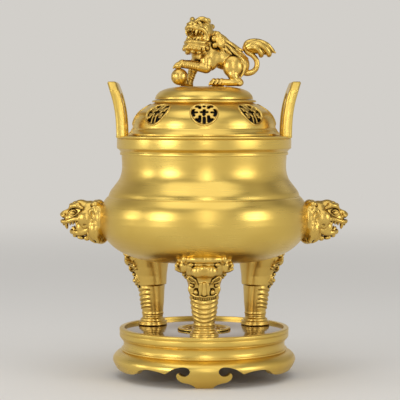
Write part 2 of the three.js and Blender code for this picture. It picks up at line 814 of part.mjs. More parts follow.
// A handle on the right: its side outline, rounded off at the top corners, with its window cut out.
function handleSolid() {
  const base = ledgeTop + SEAT_GAP;
  const lean = handleLeanShares.map(([out, up]) => [
    HANDLE_FOOT_R + out * HANDLE_LEAN,
    base + up * HANDLE_RISE,
  ]);
  const back = lean.map(([x, z]) => [x + HANDLE_THICK, z]).reverse();
  const top = back[0];
  const nose = [top[0], top[1] - HANDLE_THICK / 4];
  const toe = back[back.length - 1];
  const side = [...lean, [top[0] - HANDLE_THICK / 4, top[1]], nose, ...back.slice(1, -1)];
  const lapped = [...side, toe, [toe[0], toe[1] - HANDLE_LAP], [lean[0][0], toe[1] - HANDLE_LAP]];
  const stand = (made) => made.rotate([90, 0, 0]);
  const strap = stand(prism(lapped, 2 * HANDLE_HALF)).translate([0, HANDLE_HALF, 0]);
  const inner = HANDLE_HALF - HANDLE_LEG;
  const topZ = base + HANDLE_RISE;
  const window = [
    [-inner, base - OVERRUN],
    [inner, base - OVERRUN],
    [inner, topZ - HANDLE_LEG - HANDLE_CORNER / 2],
    [inner - HANDLE_CORNER / 2, topZ - HANDLE_LEG],
    [HANDLE_CORNER / 2 - inner, topZ - HANDLE_LEG],
    [-inner, topZ - HANDLE_LEG - HANDLE_CORNER / 2],
  ];
  const frame = [
    [-HANDLE_HALF, base - OVERRUN],
    [HANDLE_HALF, base - OVERRUN],
    [HANDLE_HALF, topZ - HANDLE_CORNER],
    [HANDLE_HALF - HANDLE_CORNER, topZ],
    [HANDLE_CORNER - HANDLE_HALF, topZ],
    [-HANDLE_HALF, topZ - HANDLE_CORNER],
  ];
  const reach = HANDLE_FOOT_R + HANDLE_LEAN + HANDLE_THICK + OVERRUN;
  const through = (points) => prism(points, reach).rotate([90, 0, 90]);
  const ledgeSpace = bar(MOUTH_LEDGE_R + SEAT_GAP, base - OVERRUN, base, TURN_STEPS);
  const cuts = [through(window), ledgeSpace];
  for (const end of [-1, 1]) {
    cuts.push(dowelHole.translate(dowelPlace(end)));
  }
  return less(strap.intersect(through(frame)), cuts);
}

// A dowel stands in the middle of the band's wall, under the middle of a handle's leg.
function dowelPlace(end) {
  const wallR = (NECK_LIP_R + SEAT_GAP + MOUTH_LEDGE_R - HANDLE_LAP) / 2;
  const y = end * (HANDLE_HALF - HANDLE_LEG / 2);
  return [Math.sqrt(wallR * wallR - y * y), y, 0];
}

function buildMouth() {
  const dowelCuts = [];
  const handle = handleSolid();
  ["right", "left"].forEach((name, i) => {
    const degrees = i * 180;
    place(`handle_${name}`, handle.rotate([0, 0, degrees]), BRUSHED);
    ["front", "rear"].forEach((where, j) => {
      const end = (j === 0 ? -1 : 1) * (i === 0 ? 1 : -1);
      const spot = (made) => made.translate(dowelPlace(end)).rotate([0, 0, degrees]);
      place(`handle_pin_${name}_${where}`, spot(dowel), STEEL);
      dowelCuts.push(spot(dowelHole));
    });
  });
  place("mouth_band", less(mouthBand(), dowelCuts), BRUSHED);
}

// A lion head on the right of the belly, nose to +X.
function lionHead() {
  const row = ([out, wide, up, deep, halfWide, tall, tip], side, steps) =>
    blob(
      [BELLY_R + out * HEAD_REACH, side * wide * HEAD_HALF, bellyLine + up * HEAD_HALF],
      [deep * HEAD_REACH, halfWide * HEAD_HALF, tall * HEAD_HALF],
      -tip * 2 * Math.PI,
      steps,
    );
  const parts = headShares.map((shares) => row(shares, 1, BLOB_STEPS));
  for (const shares of headCurlShares) {
    parts.push(row(shares, 1, CURL_STEPS), row(shares, -1, CURL_STEPS));
  }
  const shankEnd = BELLY_R + BOLT_BITE + SEAT_GAP;
  const hole = sideways(boltHole(BELLY_R - OVERRUN, shankEnd), 1).translate([0, 0, bellyLine]);
  return less(joined(parts), [bowlSpace, hole]);
}

function buildHeads() {
  const head = lionHead();
  const washerEnd = headWasherX;
  const shank = BELLY_R + BOLT_BITE - (washerEnd - WASHER_THICK - SEAT_GAP);
  const bolt = hexBolt(shank).rotate([0, -90, 0]);
  ["right", "left"].forEach((name, i) => {
    const about = (made) => made.rotate([0, 0, i * 180]);
    const headEnd = washerEnd - WASHER_THICK - SEAT_GAP;
    place(`lion_head_${name}`, about(head), CAST);
    const ring = washer().rotate([0, -90, 0]).translate([washerEnd, 0, bellyLine]);
    place(`head_washer_${name}`, about(ring), STEEL);
    place(`head_bolt_${name}`, about(bolt.translate([headEnd, 0, bellyLine])), STEEL);
  });
}

// Lid outlines
const domeTopR = STEP_R - STEP_LIP;
const domeOuter = [
  ...spread(flangeShares, DOME_R, FLANGE_R, flangeBase, domeBase),
  ...spread(domeShares, domeTopR, DOME_R, domeBase, stepBase),
];
const lidTop = [...spread(stepShares, 0, STEP_R, stepBase, capBase)];
const landingR = CAP_R - CAP_LANDING;
const domeInner = offsetOutline(domeOuter.slice(flangeShares.length - 1), LID_WALL);

// A roundel is centred on the straight line from the dome's foot to its top, and bulges out from it.
const roundelMiddle = [(DOME_R + domeTopR) / 2, domeBase + DOME_RISE / 2];
const roundelRaise = Math.atan2(DOME_R - domeTopR, DOME_RISE);
const roundelIn = -2 * LID_WALL;
const roundelOut = 2 * LID_WALL + OVERRUN;

// Stands a piece made about +Z on that line at the front, its +Z pointing out of the dome.
function onDome(made) {
  const raise = THREE.MathUtils.radToDeg(roundelRaise);
  return made.rotate([90 - raise, 0, 0]).translate([0, -roundelMiddle[0], roundelMiddle[1]]);
}

function domeShell() {
  const spigotR = MOUTH_R - SPIGOT_GAP;
  return turned([
    ...domeOuter,
    ...lidTop,
    [landingR, capBase],
    [landingR, capBase - LID_WALL],
    ...domeInner.slice(1).reverse(),
    [spigotR - LID_WALL, domeInner[0][1]],
    [spigotR - LID_WALL, flangeBase - SPIGOT_DEPTH],
    [spigotR, flangeBase - SPIGOT_DEPTH],
    [spigotR, flangeBase],
  ]);
}

// The openings of one roundel, as shares of the piercing's radius: [half across, half up, across, up].
const slotShares = [
  [0.26, 0.26, 0, 0],
  [0.15, 0.3, 0.78, 0],
];
// One corner opening, as shares of the same radius
const cornerShares = [
  [0.3, 0.42],
  [0.62, 0.36],
  [0.66, 0.62],
  [0.32, 0.84],
];

function roundelPiercing() {
  const flat = (points) => prism(points, 2 * ROUNDEL_R).translate([0, 0, -ROUNDEL_R]);
  const corners = (signX, signY, shares) =>
    flat(shares.map(([x, y]) => [signX * x * PIERCE_R, signY * y * PIERCE_R]));
  const slot = ([halfX, halfY, x, y], sign) =>
    corners(sign, sign, [
      [x - halfX, y],
      [x, y - halfY],
      [x + halfX, y],
      [x, y + halfY],
    ]);
  const holes = [slot(slotShares[0], 1)];
  for (const sign of [-1, 1]) {
    holes.push(slot(slotShares[1], sign));
    holes.push(corners(sign, 1, cornerShares), corners(sign, -1, cornerShares));
  }
  return joined(holes);
}

function buildLid() {
  const shell = domeShell();
  const seatPlug = onDome(bar(ROUNDEL_R + SEAT_GAP, roundelIn, roundelOut, ROUNDEL_STEPS));
  const plug = onDome(bar(ROUNDEL_R, roundelIn, roundelOut, ROUNDEL_STEPS));
  const roundel = shell.intersect(plug).subtract(onDome(roundelPiercing()));
  const seats = [];
  for (let i = 0; i < ROUNDEL_COUNT; i += 1) {
    const degrees = (i * 360) / ROUNDEL_COUNT;
    seats.push(seatPlug.rotate([0, 0, degrees]));
    place(`roundel_${i + 1}`, roundel.rotate([0, 0, degrees]), CAST);
  }
  place("lid_dome", less(shell, seats), BRUSHED);
}

// Cap and finial
const capOuter = spread(capShares, 0, CAP_R, capBase + SEAT_GAP, capTop);
const lionBase = capTop + SEAT_GAP;
const lionPoint = ([x, y, up]) => [x * LION_HEIGHT, y * LION_HEIGHT, lionBase + up * LION_HEIGHT];
const lionJoint = (shares) => [...lionPoint(shares), shares[3] * LION_HEIGHT];
const capInner = offsetOutline(capOuter.slice().reverse(), -LID_WALL).slice(1);
const lionBoltHole = (low, high) => bar(LION_BOLT_R + SEAT_GAP, low, high);
const lionBoltHoles = (top) =>
  Object.values(lionBoltShares).map((shares) => {
    const [x, y] = lionPoint(shares);
    return lionBoltHole(capBase, top).translate([x, y, 0]);
  });

function capShell() {
  const spigotR = landingR - SPIGOT_GAP;
  const outline = [
    ...capOuter,
    [0, capTop - LID_WALL],
    ...capInner.slice(0, -1).filter(([r]) => r < spigotR - LID_WALL),
    [spigotR - LID_WALL, capBase + LID_WALL],
    [spigotR - LID_WALL, capBase - LID_WALL],
    [spigotR, capBase - LID_WALL],
    [spigotR, capBase + SEAT_GAP],
  ];
  return less(turned(outline), lionBoltHoles(capTop + OVERRUN));
}

// The cap's space with the seat gap over it, to cut the feet that stand on it.
const capSpace = turned([
  [0, capBase],
  ...offsetOutline(capOuter, -SEAT_GAP).slice(0, -1),
  [0, capTop + SEAT_GAP],
]);

function lionSolid(ballSpace, tailSpace) {
  const row = ([x, y, up, halfX, halfY, halfUp, tip], side) =>
    blob(
      lionPoint([x, side * y, up]),
      [halfX * LION_HEIGHT, halfY * LION_HEIGHT, halfUp * LION_HEIGHT],
      tip * 2 * Math.PI,
    );
  const parts = lionBlobShares.map((shares) => row(shares, 1));
  for (const shares of lionPairShares) {
    parts.push(row(shares, -1), row(shares, 1));
  }
  for (const joints of lionLimbShares) {
    parts.push(limb(joints.map(lionJoint)));
  }
  const boltHoles = lionBoltHoles(capTop + LION_BOLT_BITE + SEAT_GAP);
  return less(joined(parts), [capSpace, ballSpace, tailSpace, ...boltHoles]);
}

function buildFinial() {
  const ballMiddle = lionPoint(lionBallShares);
  const round = (r) => blob(ballMiddle, [r, r, r]);
  const tailJoints = lionTailShares.map(lionJoint);
  const tail = joined([tube(tailJoints), ...lionTailLobeShares.map((lobe) => limb([lionJoint(lobe)]))]);
  const socket = tailJoints.slice(0, TAIL_ROOT).map(([x, y, z, r]) => [x, y, z, r + SEAT_GAP]);
  socket[0][0] -= SEAT_GAP;
  place("lion_finial", lionSolid(round(BALL_R + SEAT_GAP), tube(socket)), CAST);
  place("lion_ball", less(round(BALL_R), [capSpace]), CAST);
  place("lion_tail", tail, CAST);
  place("lid_cap", capShell(), BRUSHED);
}

function buildFinialBolts() {
  for (const [name, shares] of Object.entries(lionBoltShares)) {
    const [x, y] = lionPoint(shares);
    const washerTop = heightAt(capInner, Math.hypot(x, y) + LION_WASHER_R) - SEAT_GAP;
    const washerBase = washerTop - WASHER_THICK;
    const ring = bar(LION_WASHER_R, washerBase, washerTop);
    const hole = lionBoltHole(washerBase - OVERRUN, washerTop + OVERRUN);
    place(`finial_washer_${name}`, ring.subtract(hole).translate([x, y, 0]), STEEL);
    const headTop = washerBase - SEAT_GAP;
    const head = bar(LION_BOLT_HEAD_R, headTop - LION_BOLT_HEAD_HEIGHT, headTop, HEX_STEPS);
    const shank = bar(LION_BOLT_R, headTop - SEAT_GAP, capTop + LION_BOLT_BITE);
    place(`finial_bolt_${name}`, head.add(shank).translate([x, y, 0]), STEEL);
  }
}

buildStand();
place("pot_bowl", bowl(), BRUSHED);
buildLegs();
buildMouth();
buildHeads();
buildLid();
buildFinial();
buildFinialBolts();

export default burner;
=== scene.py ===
"""A brass altar incense burner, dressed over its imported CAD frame.

Sizes are in millimetres, as a foundry would give them, and become metres when a mesh is made. The origin is
on the table under the middle of the stand, the front leg points to -Y and +Z is up.
"""

import logging
import math
from collections.abc import Sequence
from dataclasses import dataclass, replace
from enum import Enum

import bmesh
import bpy
import numpy as np
from mathutils import Euler, Matrix


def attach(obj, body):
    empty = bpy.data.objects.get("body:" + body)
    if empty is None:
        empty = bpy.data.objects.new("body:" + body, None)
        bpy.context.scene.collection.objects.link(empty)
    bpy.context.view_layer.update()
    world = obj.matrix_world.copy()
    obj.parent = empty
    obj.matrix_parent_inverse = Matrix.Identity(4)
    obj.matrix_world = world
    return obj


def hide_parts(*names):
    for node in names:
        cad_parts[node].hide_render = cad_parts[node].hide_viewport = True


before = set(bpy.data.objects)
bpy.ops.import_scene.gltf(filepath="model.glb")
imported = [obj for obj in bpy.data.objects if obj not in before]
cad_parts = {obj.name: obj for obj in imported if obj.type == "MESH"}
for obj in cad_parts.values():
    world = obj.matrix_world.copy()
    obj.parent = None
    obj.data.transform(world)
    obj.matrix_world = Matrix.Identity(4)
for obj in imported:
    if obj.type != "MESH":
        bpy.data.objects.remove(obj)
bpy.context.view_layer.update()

MM = 0.001
TINY = 1e-9  # keeps a division from meeting zero
SAME = 1e-4  # points of an outline that are nearer than this are one
FLOWING_BEND = math.radians(16)  # an outline that bends less than this flows on
EDGE_SHARE = 0.4  # how much of a short edge may be taken off at each end
log = logging.getLogger("incense_burner")

Point = tuple[float, float, float]
Flat = tuple[float, float]
Joint = tuple[float, float, float, float]


class Body(Enum):
    """The three bodies, which lift off one another."""

    STAND = "stand"
    POT = "pot"
    LID = "lid"


class Slot(Enum):
    """The record's material slots."""

    BRUSHED = "brushed_brass"
    CAST = "cast_brass"
    MIRROR = "mirror_brass"
    STEEL = "steel_fasteners"


def linear(code: str) -> tuple[float, float, float, float]:
    """Turns an sRGB hex colour into linear light.

    Args:
        code: six hex digits.

    Returns:
        Red, green, blue and alpha for a colour socket.
    """
    shares = [int(code[i : i + 2], 16) / 255 for i in (0, 2, 4)]
    lit = [s / 12.92 if s <= 0.04045 else ((s + 0.055) / 1.055) ** 2.4 for s in shares]
    return (lit[0], lit[1], lit[2], 1.0)


def add_node(
    tree: bpy.types.NodeTree,
    kind: str,
    settings: dict[str, object] | None = None,
    inputs: dict[str | int, object] | None = None,
) -> bpy.types.Node:
    """Adds one node with its settings and links.

    Args:
        tree: the tree that gets the node.
        kind: the node's Blender type.
        settings: attributes of the node.
        inputs: what each input holds, either a value or the output socket that feeds it.

    Returns:
        The new node.
    """
    node = tree.nodes.new(kind)
    for name, value in (settings or {}).items():
        setattr(node, name, value)
    for key, value in (inputs or {}).items():
        if isinstance(value, bpy.types.NodeSocket):
            tree.links.new(value, node.inputs[key])
        else:
            node.inputs[key].default_value = value
    return node


@dataclass(frozen=True)
class Finish:
    """What every finish has: a name, and a slot of the record."""

    name: str
    slot: Slot

    def sockets(self, tree: bpy.types.NodeTree) -> dict[str | int, object]:
        """Gives what goes into the shader's sockets; each finish has its own."""
        raise NotImplementedError(self.name)

    def material(self) -> bpy.types.Material:
        """Builds the finish's material, or gives the one that was built before.

        Returns:
            The material.
        """
        known = bpy.data.materials.get(self.name)
        if known:
            return known
        made = bpy.data.materials.new(self.name)
        made.use_nodes = True
        tree = made.node_tree
        tree.nodes.clear()
        shader = add_node(tree, "ShaderNodeBsdfPrincipled", inputs=self.sockets(tree))
        add_node(tree, "ShaderNodeOutputMaterial", inputs={"Surface": shader.outputs["BSDF"]})
        return made

    def drift(
        self,
        tree: bpy.types.NodeTree,
        place: bpy.types.NodeSocket,
        size: float,
        colours: tuple[str, str],
        detail: float = 2.0,
    ) -> tuple[bpy.types.NodeSocket, bpy.types.NodeSocket]:
        """Lets one colour drift into another in soft patches.

        Args:
            tree: the material's tree.
            place: the socket of the coordinates.
            size: the patches' size in millimetres.
            colours: the two colours.
            detail: how many finer patterns lie in the patches.

        Returns:
            The patches' strength and their colour.
        """
        patches = add_node(
            tree, "ShaderNodeTexNoise", inputs={"Vector": place, "Scale": 1 / (size * MM), "Detail": detail}
        ).outputs["Fac"]
        first, second = (linear(code) for code in colours)
        mixed = add_node(tree, "ShaderNodeMix", {"data_type": "RGBA"}, {0: patches, 6: first, 7: second})
        return patches, mixed.outputs[2]


@dataclass(frozen=True)
class SpunBrass(Finish):
    """Yellow brass turned on a lathe, polished, then brushed round with a fine pad.

    The pad leaves rings of hair lines, so a highlight is drawn out across them, up and down the piece, and
    the colour drifts a little where fingers and air have dulled it.
    """

    name: str = "Yellow_Brass_Spun_Satin"
    slot: Slot = Slot.BRUSHED
    bright: str = "F0D272"
    dull: str = "D0AC50"
    smooth: float = 0.27
    rough: float = 0.4
    line: float = 1.1  # real hair lines are about 0.1 mm apart, drawn coarser so that they show at this size
    streak: float = 2.5  # how many lines' width a line's strength takes to change
    line_depth: float = 0.012
    line_strength: float = 0.08
    line_detail: float = 3.0
    patina: float = 55.0  # how wide a patch of dulled colour is
    worn: Flat = (0.15, 0.4)  # how worn it is where the brass is smooth, and where it is rough

    def sockets(self, tree: bpy.types.NodeTree) -> dict[str | int, object]:
        """Rings of hair lines in height and radius, over slow drifts of colour.

        Args:
            tree: the material's tree.

        Returns:
            The shader's inputs.
        """
        place = add_node(tree, "ShaderNodeTexCoord").outputs["Object"]
        level = add_node(
            tree, "ShaderNodeVectorMath", {"operation": "MULTIPLY"}, {0: place, 1: (1, 1, 0)}
        ).outputs[0]
        radius = add_node(tree, "ShaderNodeVectorMath", {"operation": "LENGTH"}, {0: level}).outputs["Value"]
        heading = add_node(tree, "ShaderNodeVectorMath", {"operation": "NORMALIZE"}, {0: level}).outputs[0]
        height = add_node(tree, "ShaderNodeSeparateXYZ", inputs={0: place}).outputs["Z"]
        turn = add_node(tree, "ShaderNodeSeparateXYZ", inputs={0: heading})
        run = self.line * self.streak * MM
        east = add_node(tree, "ShaderNodeMath", {"operation": "MULTIPLY"}, {0: turn.outputs["X"], 1: run})
        north = add_node(tree, "ShaderNodeMath", {"operation": "MULTIPLY"}, {0: turn.outputs["Y"], 1: run})
        ring = add_node(
            tree, "ShaderNodeCombineXYZ", inputs={0: radius, 1: north.outputs[0], 2: height}
        ).outputs[0]
        lines = add_node(
            tree,
            "ShaderNodeTexNoise",
            {"noise_dimensions": "4D"},
            {"Vector": ring, "W": east.outputs[0], "Scale": 1 / (self.line * MM), "Detail": self.line_detail},
        ).outputs["Fac"]
        drift, colour = self.drift(tree, place, self.patina, (self.bright, self.dull))
        dulled = add_node(tree, "ShaderNodeMath", {"operation": "MULTIPLY"}, {0: lines, 1: drift})
        low, high = self.worn
        worn = {"Value": dulled.outputs[0], "From Min": low, "From Max": high}
        rough = add_node(
            tree, "ShaderNodeMapRange", inputs={**worn, "To Min": self.smooth, "To Max": self.rough}
        ).outputs[0]
        cut = {"Strength": self.line_strength, "Distance": self.line_depth * MM, "Height": lines}
        bump = add_node(tree, "ShaderNodeBump", inputs=cut).outputs[0]
        return {"Base Color": colour, "Metallic": 1.0, "Roughness": rough, "Normal": bump}


@dataclass(frozen=True)
class CastBrass(Finish):
    """Yellow brass sand-cast from a carved pattern, chased and polished by hand.

    The hollows are painted a darker brown as painted shade, so what stands proud looks brighter. The skin
    keeps a faint ripple of the mould.
    """

    name: str = "Yellow_Brass_Cast_Chased"
    slot: Slot = Slot.CAST
    bright: str = "E9C86D"
    dull: str = "C8A250"
    # painted shade: the dark brown that the hollows are painted
    hollow_shade: str = "5E4319"
    smooth: float = 0.31
    rough: float = 0.6
    grain: float = 2.2  # how wide a ripple of the mould is
    grain_depth: float = 0.06
    grain_strength: float = 0.12
    grain_detail: float = 3.0
    grain_share: float = 0.3  # how much the ripple frays the painted shade's edge
    patina: float = 22.0  # how wide a patch of dulled colour is
    shade_depths: Flat = (0.38, 1.0)  # how deep a hollow is where the painted shade begins, and where it is full

    def sockets(self, tree: bpy.types.NodeTree) -> dict[str | int, object]:
        """Painted shade in the hollows, read from the mesh's recess attribute, over a rippled skin.

        Args:
            tree: the material's tree.

        Returns:
            The shader's inputs.
        """
        place = add_node(tree, "ShaderNodeTexCoord").outputs["Object"]
        recess = add_node(tree, "ShaderNodeAttribute", {"attribute_name": "recess"}).outputs["Fac"]
        grain = {"Vector": place, "Scale": 1 / (self.grain * MM), "Detail": self.grain_detail}
        ripple = add_node(tree, "ShaderNodeTexNoise", inputs=grain).outputs["Fac"]
        _, metal = self.drift(tree, place, self.patina, (self.bright, self.dull))
        uneven = add_node(
            tree, "ShaderNodeMath", {"operation": "MULTIPLY_ADD"}, {0: ripple, 1: self.grain_share, 2: recess}
        ).outputs[0]
        low, high = self.shade_depths
        hollow = {"Value": uneven, "From Min": low, "From Max": high}
        # painted shade: the deeper the hollow, the nearer the brass goes to the dark brown, and the rougher
        # it gets
        hollow_shade = add_node(tree, "ShaderNodeMapRange", {"interpolation_type": "SMOOTHSTEP"}, hollow).outputs[0]
        colour = add_node(
            tree, "ShaderNodeMix", {"data_type": "RGBA"}, {0: hollow_shade, 6: metal, 7: linear(self.hollow_shade)}
        ).outputs[2]
        rough = add_node(
            tree, "ShaderNodeMapRange", inputs={"Value": hollow_shade, "To Min": self.smooth, "To Max": self.rough}
        ).outputs[0]
        mould = {"Strength": self.grain_strength, "Distance": self.grain_depth * MM, "Height": ripple}
        bump = add_node(tree, "ShaderNodeBump", inputs=mould).outputs[0]
        return {"Base Color": colour, "Metallic": 1.0, "Roughness": rough, "Normal": bump}


@dataclass(frozen=True)
class MirrorBrass(Finish):
    """Brass sheet buffed to a mirror, darkened as a painted dark reflection, with the faint haze of wiping.
    """

    name: str = "Brass_Sheet_Mirror_Painted_Dark"
    slot: Slot = Slot.MIRROR
    # both colours are painted dark: a painted reflection of a dark room in the mirror
    clear: str = "8F7556"
    hazed: str = "80684C"
    smooth: float = 0.05
    rough: float = 0.14
    wipe: float = 30.0  # how wide a wiped patch is
    wipe_detail: float = 4.0

    def sockets(self, tree: bpy.types.NodeTree) -> dict[str | int, object]:
        """Wiping haze in soft patches.

        Args:
            tree: the material's tree.

        Returns:
            The shader's inputs.
        """
        place = add_node(tree, "ShaderNodeTexCoord").outputs["Object"]
        haze, colour = self.drift(tree, place, self.wipe, (self.clear, self.hazed), self.wipe_detail)
        rough = add_node(
            tree, "ShaderNodeMapRange", inputs={"Value": haze, "To Min": self.smooth, "To Max": self.rough}
        ).outputs[0]
        return {"Base Color": colour, "Metallic": 1.0, "Roughness": rough}


@dataclass(frozen=True)
class BrightSteel(Finish):
    """Zinc-plated steel of bought bolts, with the mottled crystals of the plating."""

    name: str = "Zinc_Plated_Steel"
    slot: Slot = Slot.STEEL
    pale: str = "B9B9B4"
    grey: str = "8E8F8C"
    smooth: float = 0.3
    rough: float = 0.5
    crystal: float = 1.5  # how wide a crystal of the plating is

    def sockets(self, tree: bpy.types.NodeTree) -> dict[str | int, object]:
        """Plating crystals as small cells of two greys.

        Args:
            tree: the material's tree.

        Returns:
            The shader's inputs.
        """
        place = add_node(tree, "ShaderNodeTexCoord").outputs["Object"]
        cells = add_node(
            tree, "ShaderNodeTexVoronoi", inputs={"Vector": place, "Scale": 1 / (self.crystal * MM)}
        ).outputs["Distance"]
        greys = {0: cells, 6: linear(self.pale), 7: linear(self.grey)}
        colour = add_node(tree, "ShaderNodeMix", {"data_type": "RGBA"}, greys).outputs[2]
        rough = add_node(
            tree, "ShaderNodeMapRange", inputs={"Value": cells, "To Min": self.smooth, "To Max": self.rough}
        )
        return {"Base Color": colour, "Metallic": 1.0, "Roughness": rough.outputs[0]}


@dataclass(frozen=True)
class DarkShadeCloth(Finish):
    """A near-black woven steel cloth under the lid's dome: painted shade seen through the pierced roundels.
    """

    name: str = "Steel_Wire_Cloth_Painted_Shade"
    slot: Slot = Slot.STEEL
    # both colours are near black: painted shade that shows through the roundels' piercings
    wire: str = "2A2623"
    gap: str = "070605"
    bare: float = 0.6  # how metallic the dark wire is
    rough: float = 0.8
    pitch: float = 0.9  # real wire cloth is about 0.5 mm, drawn coarser so that its weave shows

    def sockets(self, tree: bpy.types.NodeTree) -> dict[str | int, object]:
        """Crossing dark wires with near-black painted shade between them.

        Args:
            tree: the material's tree.

        Returns:
            The shader's inputs.
        """
        place = add_node(tree, "ShaderNodeTexCoord").outputs["Object"]
        weave = {"Color1": linear(self.wire), "Color2": linear(self.gap), "Scale": 1 / (self.pitch * MM)}
        cloth = add_node(tree, "ShaderNodeTexChecker", inputs={"Vector": place, **weave})
        return {"Base Color": cloth.outputs["Color"], "Metallic": self.bare, "Roughness": self.rough}


SPUN = SpunBrass()
CAST = CastBrass()
MIRROR = MirrorBrass()
STEEL = BrightSteel()
SHADE_CLOTH = DarkShadeCloth()


def flowing(points: Sequence[Flat], per_span: int = 7) -> list[Flat]:
    """Draws a smooth curve through given points.

    Args:
        points: the points, in order.
        per_span: how many steps each stretch gets.

    Returns:
        The curve's points.
    """
    told = np.array([points[0], *points, points[-1]], float)
    drawn: list[Flat] = []
    for i in range(1, len(told) - 2):
        before, start, end, after = told[i - 1 : i + 3]
        reach = np.linalg.norm(end - start)
        lead = (end - before) * reach / max(reach + np.linalg.norm(start - before), TINY)
        trail = (after - start) * reach / max(reach + np.linalg.norm(after - end), TINY)
        for t in np.arange(per_span) / per_span:
            spot = (
                (2 * t**3 - 3 * t**2 + 1) * start
                + (t**3 - 2 * t**2 + t) * lead
                + (3 * t**2 - 2 * t**3) * end
                + (t**3 - t**2) * trail
            )
            drawn.append((float(spot[0]), float(spot[1])))
    return [*drawn, tuple(points[-1])]


def eased(points: Sequence[Flat], radius: float, bends: int = 3, closed: bool = True) -> list[Flat]:
    """Takes the sharpness off an outline's corners, as a turner's file does.

    Args:
        points: the outline.
        radius: how far from a corner the easing starts, less where an edge is short.
        bends: how many points a corner becomes, less one.
        closed: whether the outline closes on itself.

    Returns:
        The eased outline.
    """
    clean = [p for i, p in enumerate(points) if i == 0 or math.dist(p, points[i - 1]) > SAME]
    if closed and math.dist(clean[0], clean[-1]) < SAME:
        clean.pop()
    ends = () if closed else (0, len(clean) - 1)
    drawn: list[Flat] = []
    for i, here in enumerate(clean):
        before = np.array(clean[i - 1]) - here
        after = np.array(clean[(i + 1) % len(clean)]) - here
        low, high = np.linalg.norm(before), np.linalg.norm(after)
        turn = math.acos(float(np.clip(-np.dot(before, after) / (low * high), -1, 1)))
        if i in ends or turn < FLOWING_BEND or (here[0] == 0 and not closed):
            drawn.append(here)
            continue
        cut = min(radius, EDGE_SHARE * low, EDGE_SHARE * high)
        start, end = here + before * cut / low, here + after * cut / high
        for t in np.arange(bends + 1) / bends:
            spot = (1 - t) ** 2 * start + 2 * t * (1 - t) * np.array(here) + t**2 * end
            drawn.append((float(spot[0]), float(spot[1])))
    return drawn


def outward(work: bmesh.types.BMesh) -> None:
    """Points a closed shape's faces outwards, also where the first guess turned it inside out."""
    bmesh.ops.recalc_face_normals(work, faces=work.faces)
    if work.calc_volume(signed=True) < 0:
        bmesh.ops.reverse_faces(work, faces=work.faces)


def tidy(made: bpy.types.Mesh) -> None:
    """Merges a mesh's doubles and points its faces outwards."""
    work = bmesh.new()
    work.from_mesh(made)
    bmesh.ops.remove_doubles(work, verts=work.verts, dist=0.002 * MM)
    bmesh.ops.dissolve_degenerate(work, edges=work.edges, dist=0.001 * MM)
    outward(work)
    work.to_mesh(made)
    work.free()


def linked(name: str, made: bpy.types.Mesh) -> bpy.types.Object:
    """Makes an object of a mesh and puts it in the scene."""
    piece = bpy.data.objects.new(name, made)
    bpy.context.scene.collection.objects.link(piece)
    return piece


def make_object(
    name: str, points: list[Point] | np.ndarray, faces: list | np.ndarray, clean: bool = True
) -> bpy.types.Object:
    """Makes a mesh object at the origin, with its place in its mesh.

    Args:
        name: the piece's name.
        points: its points in millimetres.
        faces: the corners of each face.
        clean: whether doubles are merged and the faces turned outwards.

    Returns:
        The object.
    """
    made = bpy.data.meshes.new(name)
    corners = faces.tolist() if isinstance(faces, np.ndarray) else faces
    made.from_pydata((np.asarray(points, float) * MM).tolist(), [], corners)
    if clean:
        tidy(made)
    made.validate()
    return linked(name, made)


def smooth(piece: bpy.types.Object, sharp: float = 32.0) -> bpy.types.Object:
    """Shades a piece smooth, but for edges that bend more than sharp degrees."""
    piece.data.shade_smooth()
    piece.data.set_sharp_from_angle(angle=math.radians(sharp))
    return piece


def turned(name: str, outline: Sequence[Flat], steps: int = 192) -> bpy.types.Object:
    """Revolves an outline of radius and height about the upright axis.

    Args:
        name: the piece's name.
        outline: a loop, or a line that starts and ends on the axis.
        steps: how many stretches go round.

    Returns:
        The object, shaded smooth.
    """
    loop = [*outline, outline[0]] if outline[0][0] > 0 else outline
    radius, height = np.array(loop).T
    angles = np.arange(steps) * 2 * math.pi / steps
    points = np.stack(
        [
            np.outer(np.sin(angles), radius),
            -np.outer(np.cos(angles), radius),
            np.broadcast_to(height, (steps, len(loop))),
        ],
        axis=-1,
    ).reshape(-1, 3)
    here = np.arange(steps)[:, None] * len(loop) + np.arange(len(loop) - 1)[None, :]
    there = np.roll(here, -1, axis=0)
    faces = np.stack([here, there, there + 1, here + 1], axis=-1).reshape(-1, 4)
    return smooth(make_object(name, points, faces))


def settled(piece: bpy.types.Object) -> bpy.types.Object:
    """Turns what a piece's modifiers make of it into its plain mesh, and takes the modifiers off.

    Args:
        piece: the piece with its modifiers.

    Returns:
        The same piece.
    """
    graph = bpy.context.evaluated_depsgraph_get()
    graph.update()
    made = bpy.data.meshes.new_from_object(piece.evaluated_get(graph))
    piece.modifiers.clear()
    piece.data = made
    return piece


def carve(piece: bpy.types.Object, cutter: bpy.types.Object) -> bpy.types.Object:
    """Cuts one piece out of another and throws the cutter away.

    Args:
        piece: what is cut.
        cutter: the closed shape that cuts it.

    Returns:
        The cut piece.
    """
    cut = piece.modifiers.new("Cut", "BOOLEAN")
    cut.operation = "DIFFERENCE"
    cut.solver = "EXACT"
    cut.object = cutter
    settled(piece)
    bpy.data.objects.remove(cutter)
    tidy(piece.data)
    return smooth(piece)


